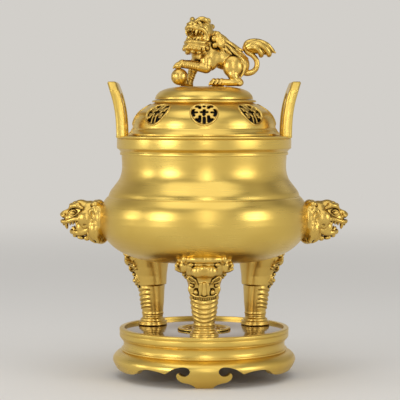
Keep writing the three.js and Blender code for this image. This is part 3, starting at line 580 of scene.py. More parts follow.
@dataclass(frozen=True)
class RingOfCopies:
    """A Geometry Nodes tree that sets a piece round the upright axis in even turns."""

    count: int

    def tree(self, material: bpy.types.Material) -> bpy.types.NodeTree:
        """Builds the tree.

        Args:
            material: what the copies are given.

        Returns:
            The node group, with its Count input.
        """
        group = bpy.data.node_groups.new("Ring_of_copies", "GeometryNodeTree")
        face = group.interface
        face.new_socket("Geometry", in_out="INPUT", socket_type="NodeSocketGeometry")
        face.new_socket("Count", in_out="INPUT", socket_type="NodeSocketInt")
        face.new_socket("Geometry", in_out="OUTPUT", socket_type="NodeSocketGeometry")
        given = add_node(group, "NodeGroupInput")
        spots = add_node(
            group, "GeometryNodeMeshLine", inputs={"Count": given.outputs["Count"], "Offset": (0.0, 0.0, 0.0)}
        )
        index = add_node(group, "GeometryNodeInputIndex").outputs[0]
        angle = index
        for operation, by in (("DIVIDE", given.outputs["Count"]), ("MULTIPLY", math.tau)):
            angle = add_node(group, "ShaderNodeMath", {"operation": operation}, {0: angle, 1: by}).outputs[0]
        turn = add_node(group, "ShaderNodeCombineXYZ", inputs={2: angle}).outputs[0]
        copies = add_node(
            group,
            "GeometryNodeInstanceOnPoints",
            inputs={"Points": spots.outputs[0], "Instance": given.outputs["Geometry"], "Rotation": turn},
        )
        real = add_node(group, "GeometryNodeRealizeInstances", inputs={"Geometry": copies.outputs[0]})
        dressed = add_node(
            group, "GeometryNodeSetMaterial", inputs={"Geometry": real.outputs[0], "Material": material}
        )
        add_node(group, "NodeGroupOutput", inputs={"Geometry": dressed.outputs[0]})
        return group

    def make(self, piece: bpy.types.Object, finish: Finish) -> bpy.types.Object:
        """Sets the piece round in a ring, as one plain mesh.

        Args:
            piece: the first copy, at the front.
            finish: the copies' finish.

        Returns:
            The ring.
        """
        group = self.tree(finish.material())
        ring = piece.modifiers.new("Ring", "NODES")
        ring.node_group = group
        for item in group.interface.items_tree:
            if item.name == "Count":
                ring[item.identifier] = self.count
        settled(piece)
        bpy.data.node_groups.remove(group)
        return piece


def seat(piece: bpy.types.Object, body: Body, finish: Finish, *nodes: str) -> None:
    """Dresses a finished piece and puts it on its body.

    Args:
        piece: the piece, in place.
        body: what it moves with.
        finish: its finish.
        nodes: the CAD nodes that it stands for.
    """
    piece.data.materials.clear()
    piece.data.materials.append(finish.material())
    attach(piece, body.value)
    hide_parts(*nodes)
    log.info("%s: %d faces on %s", piece.name, len(piece.data.polygons), body.value)


@dataclass(frozen=True)
class Lump:
    """A rounded lump: its middle, its half sizes and its turn in degrees, all as [outwards, sideways, up]."""

    middle: Point
    half: Point
    turn: Point = (0.0, 0.0, 0.0)
    pair: bool = False
    cut: bool = False
    blend: float = 1.2


@dataclass(frozen=True)
class Strand:
    """A roll of wax through joints of [outwards, sideways, up, radius]."""

    joints: tuple[Joint, ...]
    pair: bool = False
    cut: bool = False
    blend: float = 0.6


Form = Lump | Strand


def lumps(*rows: tuple[Point, ...], **settings: bool | float) -> tuple[Lump, ...]:
    """Makes lumps with the same settings, each row a middle, the half sizes and perhaps a turn."""
    return tuple(Lump(*row, **settings) for row in rows)


def strands(*rows: tuple[Joint, ...], **settings: bool | float) -> tuple[Strand, ...]:
    """Makes strands with the same settings, each row one strand's joints."""
    return tuple(Strand(row, **settings) for row in rows)


@dataclass(frozen=True)
class Place:
    """Where forms are laid: an origin, and the directions of outwards, sideways and up."""

    origin: Point = (0.0, 0.0, 0.0)
    out: Point = (1.0, 0.0, 0.0)
    side: Point = (0.0, 1.0, 0.0)
    up: Point = (0.0, 0.0, 1.0)

    def axes(self) -> np.ndarray:
        """Gives the three directions as a matrix's columns."""
        return np.array([self.out, self.side, self.up], float).T

    def spot(self, point: Point) -> np.ndarray:
        """Where a point given in this place lies in the piece's frame."""
        return np.array(self.origin, float) + self.axes() @ np.array(point, float)


FRONT = Place(out=(0.0, -1.0, 0.0), side=(1.0, 0.0, 0.0))


@dataclass
class Casting:
    """The skin of a casting: points, faces, outward directions, and how deep in a hollow each point lies."""

    points: np.ndarray
    faces: np.ndarray
    normals: np.ndarray
    recess: np.ndarray

    def turned(self, degrees: float) -> "Casting":
        """The same casting turned about the upright axis."""
        turn = np.array(Matrix.Rotation(math.radians(degrees), 3, "Z"))
        return Casting(self.points @ turn.T, self.faces, self.normals @ turn.T, self.recess)

    def object(self, name: str) -> bpy.types.Object:
        """Makes the casting's mesh object.

        Args:
            name: the piece's name.

        Returns:
            The object, with its recess attribute.
        """
        piece = make_object(name, self.points, self.faces, clean=False)
        piece.data.shade_smooth()
        piece.data.normals_split_custom_set_from_vertices(self.normals.tolist())
        hollow = piece.data.attributes.new("recess", "FLOAT", "POINT")
        hollow.data.foreach_set("value", self.recess.astype(np.float32))
        return piece


class CastingPattern:
    """A block of fine cells that holds, in millimetres, how far each cell lies outside the casting's skin."""

    FAR = 50.0
    MARGIN = 3.2  # how far past a form its fillet can reach
    SAW_BLEND = 0.1
    THINNEST = 0.05  # the least radius of a strand
    SETTLE_PASSES = 3  # how often the skin's points are drawn onto the casting
    SETTLE_SHARE = 0.8  # how much of the way they go each time
    FLATTEST = 0.3  # the least slope of the cells that is trusted there

    def __init__(self, low: Point, high: Point, step: float) -> None:
        """Clears a block.

        Args:
            low: the block's lowest corner.
            high: its highest corner.
            step: the cells' size.
        """
        self.step = step * 1.0
        self.low = np.array(low, float)
        self.counts = np.ceil((np.array(high, float) - self.low) / self.step).astype(int) + 1
        self.distance = np.full(self.counts, self.FAR, np.float32)

    def window(self, low: np.ndarray, high: np.ndarray) -> tuple[tuple[slice, ...], list[np.ndarray]]:
        """Finds the cells near a form.

        Args:
            low: the form's lowest corner.
            high: its highest corner.

        Returns:
            The cells' slices, and their coordinates as arrays that spread over each other.
        """
        start = np.clip(np.floor((low - self.MARGIN - self.low) / self.step), 0, self.counts).astype(int)
        end = np.clip(np.ceil((high + self.MARGIN - self.low) / self.step) + 1, 0, self.counts).astype(int)
        slices = tuple(slice(a, b) for a, b in zip(start, end))
        axes = [
            (self.low[i] + self.step * np.arange(start[i], end[i], dtype=np.float32)).astype(np.float32)
            for i in range(3)
        ]
        return slices, [axes[0][:, None, None], axes[1][None, :, None], axes[2][None, None, :]]

    def merge(self, slices: tuple[slice, ...], distance: np.ndarray, blend: float, cut: bool = False) -> None:
        """Joins a form to the casting or cuts it away, with a soft fillet.

        Args:
            slices: the form's cells.
            distance: how far each lies outside the form.
            blend: the fillet's width.
            cut: whether the form is cut away.
        """
        old = self.distance[slices]
        distance = distance.astype(np.float32)
        if cut:
            distance = -distance
        fillet = np.maximum(blend - np.abs(old - distance), 0) / blend
        fillet = fillet * fillet * blend * 0.25
        joined = np.maximum(old, distance) + fillet if cut else np.minimum(old, distance) - fillet
        self.distance[slices] = joined

    def lump(self, form: Lump, place: Place) -> None:
        """Adds or cuts one lump."""
        axes = place.axes() @ np.array(Euler([math.radians(a) for a in form.turn]).to_matrix())
        middle = place.spot(form.middle)
        half = np.array(form.half, float)
        reach = np.abs(axes) @ half
        slices, grid = self.window(middle - reach, middle + reach)
        if 0 in self.distance[slices].shape:
            return
        offset = [grid[i] - middle[i] for i in range(3)]
        local = [sum(axes[i, j] * offset[i] for i in range(3)) for j in range(3)]
        near = np.sqrt(sum((local[j] / half[j]) ** 2 for j in range(3)))
        slope = np.sqrt(sum((local[j] / half[j] ** 2) ** 2 for j in range(3)))
        distance = near * (near - 1) / np.maximum(slope, 1e-6)
        self.merge(slices, distance, form.blend, form.cut)

    def strand(self, form: Strand, place: Place, per_span: int = 5) -> None:
        """Adds or cuts one roll, smooth through its joints."""
        told = np.array([[*place.spot(j[:3]), j[3]] for j in form.joints])
        told = np.vstack([2 * told[0] - told[1], told, 2 * told[-1] - told[-2]])
        told[:, 3] = np.maximum(told[:, 3], self.THINNEST)
        t = (np.arange(per_span) / per_span)[:, None]
        path = [
            0.5 * (2 * b + (c - a) * t + (2 * a - 5 * b + 4 * c - d) * t**2 + (3 * b - a - 3 * c + d) * t**3)
            for a, b, c, d in zip(told[:-3], told[1:-2], told[2:-1], told[3:])
        ]
        path = np.vstack([*path, told[-2]])
        reach = path[:, 3:].max()
        slices, grid = self.window(path[:, :3].min(0) - reach, path[:, :3].max(0) + reach)
        shape = self.distance[slices].shape
        if 0 in shape:
            return
        nearest = np.full(shape, self.FAR, np.float32)
        for start, end in zip(path[:-1], path[1:]):
            along = end[:3] - start[:3]
            offset = [grid[i] - np.float32(start[i]) for i in range(3)]
            length = np.float32(max(along @ along, TINY))
            share = np.clip(sum(offset[i] * np.float32(along[i]) for i in range(3)) / length, 0, 1)
            away = np.sqrt(sum((offset[i] - share * np.float32(along[i])) ** 2 for i in range(3)))
            nearest = np.minimum(nearest, away - (start[3] + share * (end[3] - start[3])))
        self.merge(slices, nearest, form.blend, form.cut)

    def add(self, forms: tuple[Form, ...], place: Place = Place()) -> None:
        """Lays forms one after the other, and those in pairs on both sides.

        Args:
            forms: the forms, in the order that they are laid.
            place: where they are laid.
        """
        for form in forms:
            for side in (1, -1) if form.pair else (1,):
                if isinstance(form, Lump):
                    out, across, up = form.middle
                    roll, nod, swing = form.turn
                    turn = (side * roll, nod, side * swing)
                    self.lump(replace(form, middle=(out, side * across, up), turn=turn), place)
                else:
                    joints = tuple((x, side * y, z, radius) for x, y, z, radius in form.joints)
                    self.strand(replace(form, joints=joints), place)

    def everywhere(self) -> tuple[tuple[slice, ...], list[np.ndarray]]:
        """Every cell of the block, as window gives them."""
        return self.window(self.low, self.low + self.step * self.counts)

    def saw_flat(self, height: float) -> None:
        """Cuts away all that lies below a height."""
        slices, (_, _, z) = self.everywhere()
        self.merge(slices, z - height + 0 * self.distance[slices], self.SAW_BLEND, cut=True)

    def read(self, values: np.ndarray, points: np.ndarray) -> np.ndarray:
        """Reads a field of the block's cells at points between them.

        Args:
            values: one value a cell.
            points: where to read.

        Returns:
            One value a point.
        """
        spot = (points - self.low) / self.step
        base = np.clip(np.floor(spot).astype(int), 0, self.counts - 2)
        share = np.clip(spot - base, 0, 1)
        total = np.zeros(len(points))
        for corner in range(8):
            bit = [corner >> i & 1 for i in range(3)]
            weight = np.prod([share[:, i] if bit[i] else 1 - share[:, i] for i in range(3)], axis=0)
            total += weight * values[base[:, 0] + bit[0], base[:, 1] + bit[1], base[:, 2] + bit[2]]
        return total

    def skin(self, hollow: float = 2.0) -> Casting:
        """Draws the casting's skin through the cells that it crosses.

        Args:
            hollow: how far above the skin the metal round a hollow still counts.

        Returns:
            The casting.
        """
        field = np.pad(self.distance[1:-1, 1:-1, 1:-1], 1, constant_values=self.FAR)
        inside = field < 0
        cells = [n - 1 for n in field.shape]
        total = np.zeros((*cells, 3), np.float32)
        count = np.zeros(cells, np.float32)
        crossings = []
        for axis in range(3):
            first, second = [slice(None)] * 3, [slice(None)] * 3
            first[axis], second[axis] = slice(None, -1), slice(1, None)
            start, end = field[tuple(first)], field[tuple(second)]
            crossed = inside[tuple(first)] != inside[tuple(second)]
            crossings.append(crossed)
            share = np.where(crossed, start / np.where(crossed, start - end, 1), 0)
            others = [a for a in range(3) if a != axis]
            for bit in ((0, 0), (0, 1), (1, 0), (1, 1)):
                cut = [slice(None)] * 3
                for other, b in zip(others, bit):
                    cut[other] = slice(b, b + cells[other])
                hit = crossed[tuple(cut)]
                count += hit
                total[..., axis] += share[tuple(cut)]
                for other, b in zip(others, bit):
                    total[..., other] += b * hit
        active = count > 0
        index = np.full(cells, -1)
        index[active] = np.arange(active.sum())
        points = self.low + self.step * (np.argwhere(active) + total[active] / count[active][:, None])
        faces = []
        for axis, (u, v) in enumerate(((1, 2), (2, 0), (0, 1))):
            at = np.argwhere(crossings[axis])
            at = at[(at[:, u] > 0) & (at[:, v] > 0) & (at[:, u] < cells[u]) & (at[:, v] < cells[v])]
            corners = []
            for du, dv in ((1, 1), (0, 1), (0, 0), (1, 0)):
                cell = at.copy()
                cell[:, u] -= du
                cell[:, v] -= dv
                corners.append(index[cell[:, 0], cell[:, 1], cell[:, 2]])
            quads = np.stack(corners, axis=1)
            out = inside[at[:, 0], at[:, 1], at[:, 2]]
            faces.append(np.where(out[:, None], quads, quads[:, ::-1]))
        slopes = np.gradient(self.distance, self.step)
        for _ in range(self.SETTLE_PASSES):
            normals = np.stack([self.read(s, points) for s in slopes], axis=1)
            steep = np.maximum(np.linalg.norm(normals, axis=1), self.FLATTEST)
            off = np.clip(self.read(self.distance, points), -self.step, self.step)
            points = points - normals * (off / steep**2)[:, None] * self.SETTLE_SHARE
        normals = np.stack([self.read(s, points) for s in slopes], axis=1)
        normals /= np.maximum(np.linalg.norm(normals, axis=1), 1e-6)[:, None]
        # how deep in a hollow each point lies; the cast finish paints shade from this
        probe = points + normals * hollow
        far_corner = self.low + self.step * (np.array(self.distance.shape) - 3)
        told = np.all((probe > self.low + self.step) & (probe < far_corner), axis=1)
        recess = np.where(told, np.clip(1 - self.read(self.distance, probe) / hollow, 0, 1), 0.0)
        return Casting(points, np.vstack(faces), normals, recess)


@dataclass
class Stand:
    """The round stand: a turned frame on three scroll feet, a mirror plate and a pierced medallion."""

    apron_radius: float = 98.9
    foot_count: int = 3
    foot_half: float = 29.7
    foot_rise: float = 23.5
    plate_base: float = 48.0
    plate_top: float = 51.0
    plate_radius: float = 86.1
    medallion_hole: float = 25.6
    rim: tuple[Flat, ...] = (
        (86.4, 47.7), (86.4, 53.5), (90.9, 53.5), (91.7, 52.5), (91.7, 49.9), (90.7, 49.3), (91.4, 48.5),
        (91.5, 47.6), (91.5, 44.6),
    )
    cove: tuple[Flat, ...] = (
        (91.5, 44.6), (91, 43.3), (89.9, 42.3), (89.9, 41.8), (88.4, 40.4), (87.5, 38.4), (87.25, 36),
        (87.4, 33.6), (88.1, 31.7),
    )
    bead: tuple[Flat, ...] = ((88.1, 31.5), (89.5, 31.1), (89.8, 30.2), (89.5, 29.3), (88.9, 29.0))
    apron: tuple[Flat, ...] = (
        (88.9, 29), (92.4, 27.7), (96, 25.2), (98.2, 22.2), (98.9, 19), (98.3, 15.2), (95.8, 10),
        (91.4, 4.4), (86.6, 0),
    )
    inside: tuple[Flat, ...] = (
        (81.1, 0), (89.8, 11.5), (93.2, 19.5), (90, 25), (81.7, 31), (81.7, 43.7), (75.4, 43.7),
        (75.4, 47.7),
    )
    scroll_shares: tuple[Flat, ...] = (
        (0.33, 0), (0.4, 0.1), (0.5, 0.19), (0.67, 0.255), (0.835, 0.3), (0.96, 0.42), (1, 0.57),
        (0.975, 0.68), (0.92, 0.73), (0.875, 0.66), (0.775, 0.6), (0.64, 0.605), (0.54, 0.7), (0.5, 0.83),
        (0.57, 0.95), (0.7, 1), (0.875, 0.99),
    )
    apron_edge_shares: tuple[Flat, ...] = (
        (0.33, 0.89), (0.41, 0.66), (0.5, 0.745), (0.62, 0.785), (0.72, 0.7), (0.8, 0.51), (0.88, 0.43),
        (1, 0.41),
    )
    ring: tuple[Flat, ...] = (
        (25.2, 48), (25.2, 51.2), (28.7, 51.2), (28.6, 52.1), (27.9, 52.8), (26.6, 52.9), (24.4, 52.7),
        (23.6, 52), (23.6, 49), (22, 49), (22, 48),
    )
    hoop: tuple[Flat, ...] = (
        (20.4, 49.3), (23.3, 49.3), (23.3, 51), (22.6, 51.6), (21, 51.6), (20.4, 51),
    )
    boss: tuple[Flat, ...] = ((0, 49.3), (4.2, 49.3), (4.4, 50.8), (3.0, 52.0), (0, 52.6))
    petal_count: int = 6
    leaf: tuple[Form, ...] = (
        Strand(((3, 0, 50.6, 1), (9, 0, 51.2, 1.6), (14, 0, 51.2, 1.3))),
        *strands(
            ((13.4, 0, 51, 1.2), (17, 2.2, 51.4, 1.5), (20.2, 0.3, 51, 0.8)),
            ((21.8, 7.4, 50.6, 1), (17.6, 8.6, 51.2, 1.3), (15.4, 6, 51.4, 1.3), (17.2, 4.4, 51, 0.9)),
            ((13.4, 0.4, 50.8, 1.1), (12.4, 4.6, 51.1, 1.3), (10.2, 5.9, 50.8, 1.1)),
            ((4.6, 0.8, 50.6, 0.9), (7.6, 3.6, 51.2, 1.3), (10.2, 2.2, 50.9, 0.8)),
            pair=True,
        ),
    )
    # The arches' cutter: how finely it bends, how far below the feet it starts, and its two radii.
    cut_step: float = 3.0
    cut_below: float = 4.0
    cut_radii: Flat = (70.0, 108.0)

    def arch_cutter(self) -> bpy.types.Object:
        """Bends the open space between two feet round the apron.

        Returns:
            A closed cutter.
        """
        pitch = math.tau * self.apron_radius / self.foot_count
        side = flowing([(s * self.foot_half, z * self.foot_rise) for s, z in self.scroll_shares], per_span=4)
        tip, rest = self.apron_edge_shares[:2], self.apron_edge_shares[1:]
        edge = [tip[0], *flowing(rest, per_span=4)]
        half = [(side[0][0], -self.cut_below), *side, *[(s * pitch / 2, z * self.foot_rise) for s, z in edge]]
        whole = [*half, *[(pitch - s, z) for s, z in reversed(half[:-1])]]
        work = bmesh.new()
        work.faces.new([work.verts.new((s, 0, z)) for s, z in whole])
        for i in range(1, int(pitch / self.cut_step)):
            parts, spot = [*work.verts, *work.edges, *work.faces], (i * self.cut_step, 0, 0)
            bmesh.ops.bisect_plane(work, geom=parts, dist=1e-5, plane_co=spot, plane_no=(1, 0, 0))
        pushed = bmesh.ops.extrude_face_region(work, geom=list(work.faces))
        for part in pushed["geom"]:
            if isinstance(part, bmesh.types.BMVert):
                part.co.y = 1.0
        inner, outer = self.cut_radii
        for vert in work.verts:
            angle, reach = vert.co.x / self.apron_radius, inner + vert.co.y * (outer - inner)
            vert.co = (reach * math.sin(angle) * MM, -reach * math.cos(angle) * MM, vert.co.z * MM)
        outward(work)
        made = bpy.data.meshes.new("arch")
        work.to_mesh(made)
        work.free()
        return linked("arch", made)

    def frame_piece(self) -> bpy.types.Object:
        """Turns the frame and cuts the three arches between its feet."""
        upper = eased([*self.rim, *flowing(self.cove)], radius=0.5, closed=False)
        lower = [*flowing(self.bead, per_span=3), *flowing(self.apron)]
        outline = eased([*upper, *lower, *self.inside], radius=0.35)
        body = turned("stand_frame_turned", outline)
        cutter = RingOfCopies(self.foot_count).make(self.arch_cutter(), SPUN)
        return carve(body, cutter)

    def petal(self) -> bpy.types.Object:
        """Casts one petal of the medallion: a leaf between two scrolls."""
        pattern = CastingPattern(low=(-13, -24.5, 46), high=(13, -1, 55), step=0.35)
        pattern.add(self.leaf, FRONT)
        return pattern.skin(hollow=1.2).object("medallion_petals")

    def build(self) -> None:
        """Makes and seats the stand's pieces."""
        seat(self.frame_piece(), Body.STAND, SPUN, "stand_frame")
        inner, outer, low, top = self.medallion_hole, self.plate_radius, self.plate_base, self.plate_top
        plate = eased([(inner, low), (outer, low), (outer, top), (inner, top)], radius=0.3)
        seat(turned("stand_plate_disc", plate), Body.STAND, MIRROR, "stand_plate")
        ring, hoop = eased(self.ring, radius=0.3), eased(self.hoop, radius=0.4)
        seat(turned("medallion_rim", ring, steps=96), Body.STAND, SPUN, "medallion_ring")
        seat(turned("medallion_hoop", hoop, steps=96), Body.STAND, CAST, "medallion_grille")
        boss = eased(self.boss, radius=0.5, closed=False)
        seat(turned("medallion_boss", boss, steps=48), Body.STAND, CAST)
        seat(RingOfCopies(self.petal_count).make(self.petal(), CAST), Body.STAND, CAST)


@dataclass
class Bowl:
    """The round-bellied bowl, the turned band round its mouth and its two loop handles."""

    belly_radius: float = 112.8
    belly: tuple[Flat, ...] = (
        (0, 126.4), (30, 126.5), (55, 126.8), (67, 127.5), (79, 130.6), (92.5, 136.9), (102.6, 145.3),
        (110, 155.4), (112.8, 168.5), (112.4, 178.5), (109.8, 187.3), (104.8, 194.2),
    )
    ridge: tuple[Flat, ...] = ((104.8, 194.2), (103.7, 194.9), (103.1, 195.7))
    neck: tuple[Flat, ...] = (
        (103.1, 195.7), (101.2, 200.6), (96.1, 207.4), (91.4, 214), (88.9, 222), (88.5, 229),
        (89, 239), (89.3, 247), (89.3, 257.7),
    )
    inside: tuple[Flat, ...] = (
        (85.3, 257.7), (85.3, 240), (84.6, 226), (87.2, 212.6), (92.8, 204.6), (99, 197.4),
        (104.5, 190), (107.9, 181), (108.8, 169), (106.2, 157), (99.8, 148.4), (90.5, 140.6),
        (77.6, 134.6), (66.7, 131.6), (40, 130.6), (0, 130.4),
    )
    band: tuple[Flat, ...] = (
        (89.6, 239.8), (90.6, 239.9), (90.8, 241.2), (90.6, 242.4), (90, 243.6), (92.4, 246),
        (93.7, 246.7), (94, 247.7), (94, 257), (93.1, 258), (94.6, 258.2), (95, 258.8),
        (95, 260), (94.6, 260.4), (74, 260.4), (74, 258), (89.6, 258),
    )
    handle_foot: float = 82.6
    handle_base: float = 258.3
    handle_top: float = 318.2
    handle_rise_from: float = 260.7
    handle_lean: tuple[Flat, ...] = ((0, 0), (0.2, 0.04), (0.4, 0.13), (0.6, 0.32), (0.8, 0.62), (1, 1))
    handle_lean_by: float = 10.6
    handle_thick: float = 10.4
    handle_half: float = 34.0
    handle_leg: float = 13.0
    handle_corner: float = 9.0
    handle_chamfer: float = 1.7
    # How many stretches each of the handle's five sides gets: up, a corner, across, a corner and down.
    handle_stretches: tuple[int, ...] = (16, 4, 8, 4, 16)
    handle_bevel: float = 0.5
    handle_bevel_from: float = 24.0  # the least bend in degrees that is bevelled
    seam: float = 0.3  # the fillet between a casting and the bowl

    def outer(self) -> list[Flat]:
        """The bowl's outer line, from the middle of its underside to its mouth."""
        line = [*flowing(self.belly, per_span=8), *self.ridge, *flowing(self.neck, per_span=8)]
        return [(min(radius, self.belly_radius), height) for radius, height in line]

    def bowl(self) -> bpy.types.Object:
        """Turns the bowl with its wall."""
        outer = eased(self.outer(), radius=0.5, closed=False)
        return turned("bowl_shell", [*outer, *flowing(self.inside, per_span=6)], steps=224)

    def handle(self) -> bpy.types.Object:
        """Sweeps the right handle: a chamfered bar up, over and down, leaning outwards at the top."""
        half, leg, corner = self.handle_half, self.handle_leg, self.handle_corner
        base, top = self.handle_base, self.handle_top
        inner, ease = half - leg, corner / 2
        outside = [(-half, base), (-half, top - corner), (corner - half, top)]
        within = [(-inner, base), (-inner, top - leg - ease), (ease - inner, top - leg)]
        outside += [(-y, z) for y, z in reversed(outside)]
        within += [(-y, z) for y, z in reversed(within)]
        tracks = []
        for track in (outside, within):
            line = [
                np.array(a) + (np.array(b) - a) * t / count
                for a, b, count in zip(track, track[1:], self.handle_stretches)
                for t in range(count)
            ]
            tracks.append(np.array([*line, track[-1]]))
        wide, deep = self.handle_chamfer / leg, self.handle_chamfer
        thick = self.handle_thick
        section = [
            (wide, 0), (1 - wide, 0), (1, deep), (1, thick - deep), (1 - wide, thick), (wide, thick),
            (0, thick - deep), (0, deep),
        ]
        up, lean = np.array(flowing(self.handle_lean)).T
        points = []
        for out, win in zip(*tracks):
            for share, depth in section:
                y, z = win + (out - win) * share
                risen = (z - self.handle_rise_from) / (top - self.handle_rise_from)
                leaning = self.handle_foot + self.handle_lean_by * np.interp(risen, up, lean)
                points.append((leaning + depth, y, z))
        sides, last = len(section), len(points) - len(section)
        faces = []
        for low in range(0, last, sides):
            for j in range(sides):
                ahead = (j + 1) % sides
                faces.append((low + j, low + ahead, low + sides + ahead, low + sides + j))
        ends = [list(range(sides)), list(range(last, last + sides))]
        piece = make_object("handle_bar_right", points, [*faces, *ends])
        bevel = piece.modifiers.new("Broken edges", "BEVEL")
        bevel.width = self.handle_bevel * MM
        bevel.segments = 2
        bevel.limit_method = "ANGLE"
        bevel.angle_limit = math.radians(self.handle_bevel_from)
        return smooth(settled(piece), sharp=25)

    def build(self) -> None:
        """Makes and seats the bowl, its band and its handles."""
        seat(self.bowl(), Body.POT, SPUN, "pot_bowl")
        seat(turned("mouth_band_turned", eased(self.band, radius=0.45)), Body.POT, SPUN, "mouth_band")
        right = self.handle()
        left = linked("handle_bar_left", right.data.copy())
        left.data.transform(Matrix.Rotation(math.pi, 4, "Z"))
        seat(right, Body.POT, SPUN, "handle_right")
        seat(left, Body.POT, SPUN, "handle_left")

    def clear(self, pattern: CastingPattern, sink: float) -> None:
        """Cuts away what of a casting would lie inside the bowl.

        Args:
            pattern: the casting.
            sink: how far it may reach into the bowl's wall.
        """
        radius, height = np.array(self.outer()).T
        rising = np.maximum.accumulate(height) + np.arange(len(height)) * 1e-6
        slices, (x, y, z) = pattern.everywhere()
        wall = np.interp(z, rising, radius).astype(np.float32)
        slope = np.gradient(np.interp(z.ravel(), rising, radius), pattern.step)
        lean = (1 / np.sqrt(1 + slope**2))[None, None, :].astype(np.float32)
        outside = (np.sqrt(x * x + y * y) - wall) * lean
        above = z - self.belly[0][1]
        within = np.maximum(outside + sink, sink - above)
        pattern.merge(slices, within, blend=self.seam, cut=True)


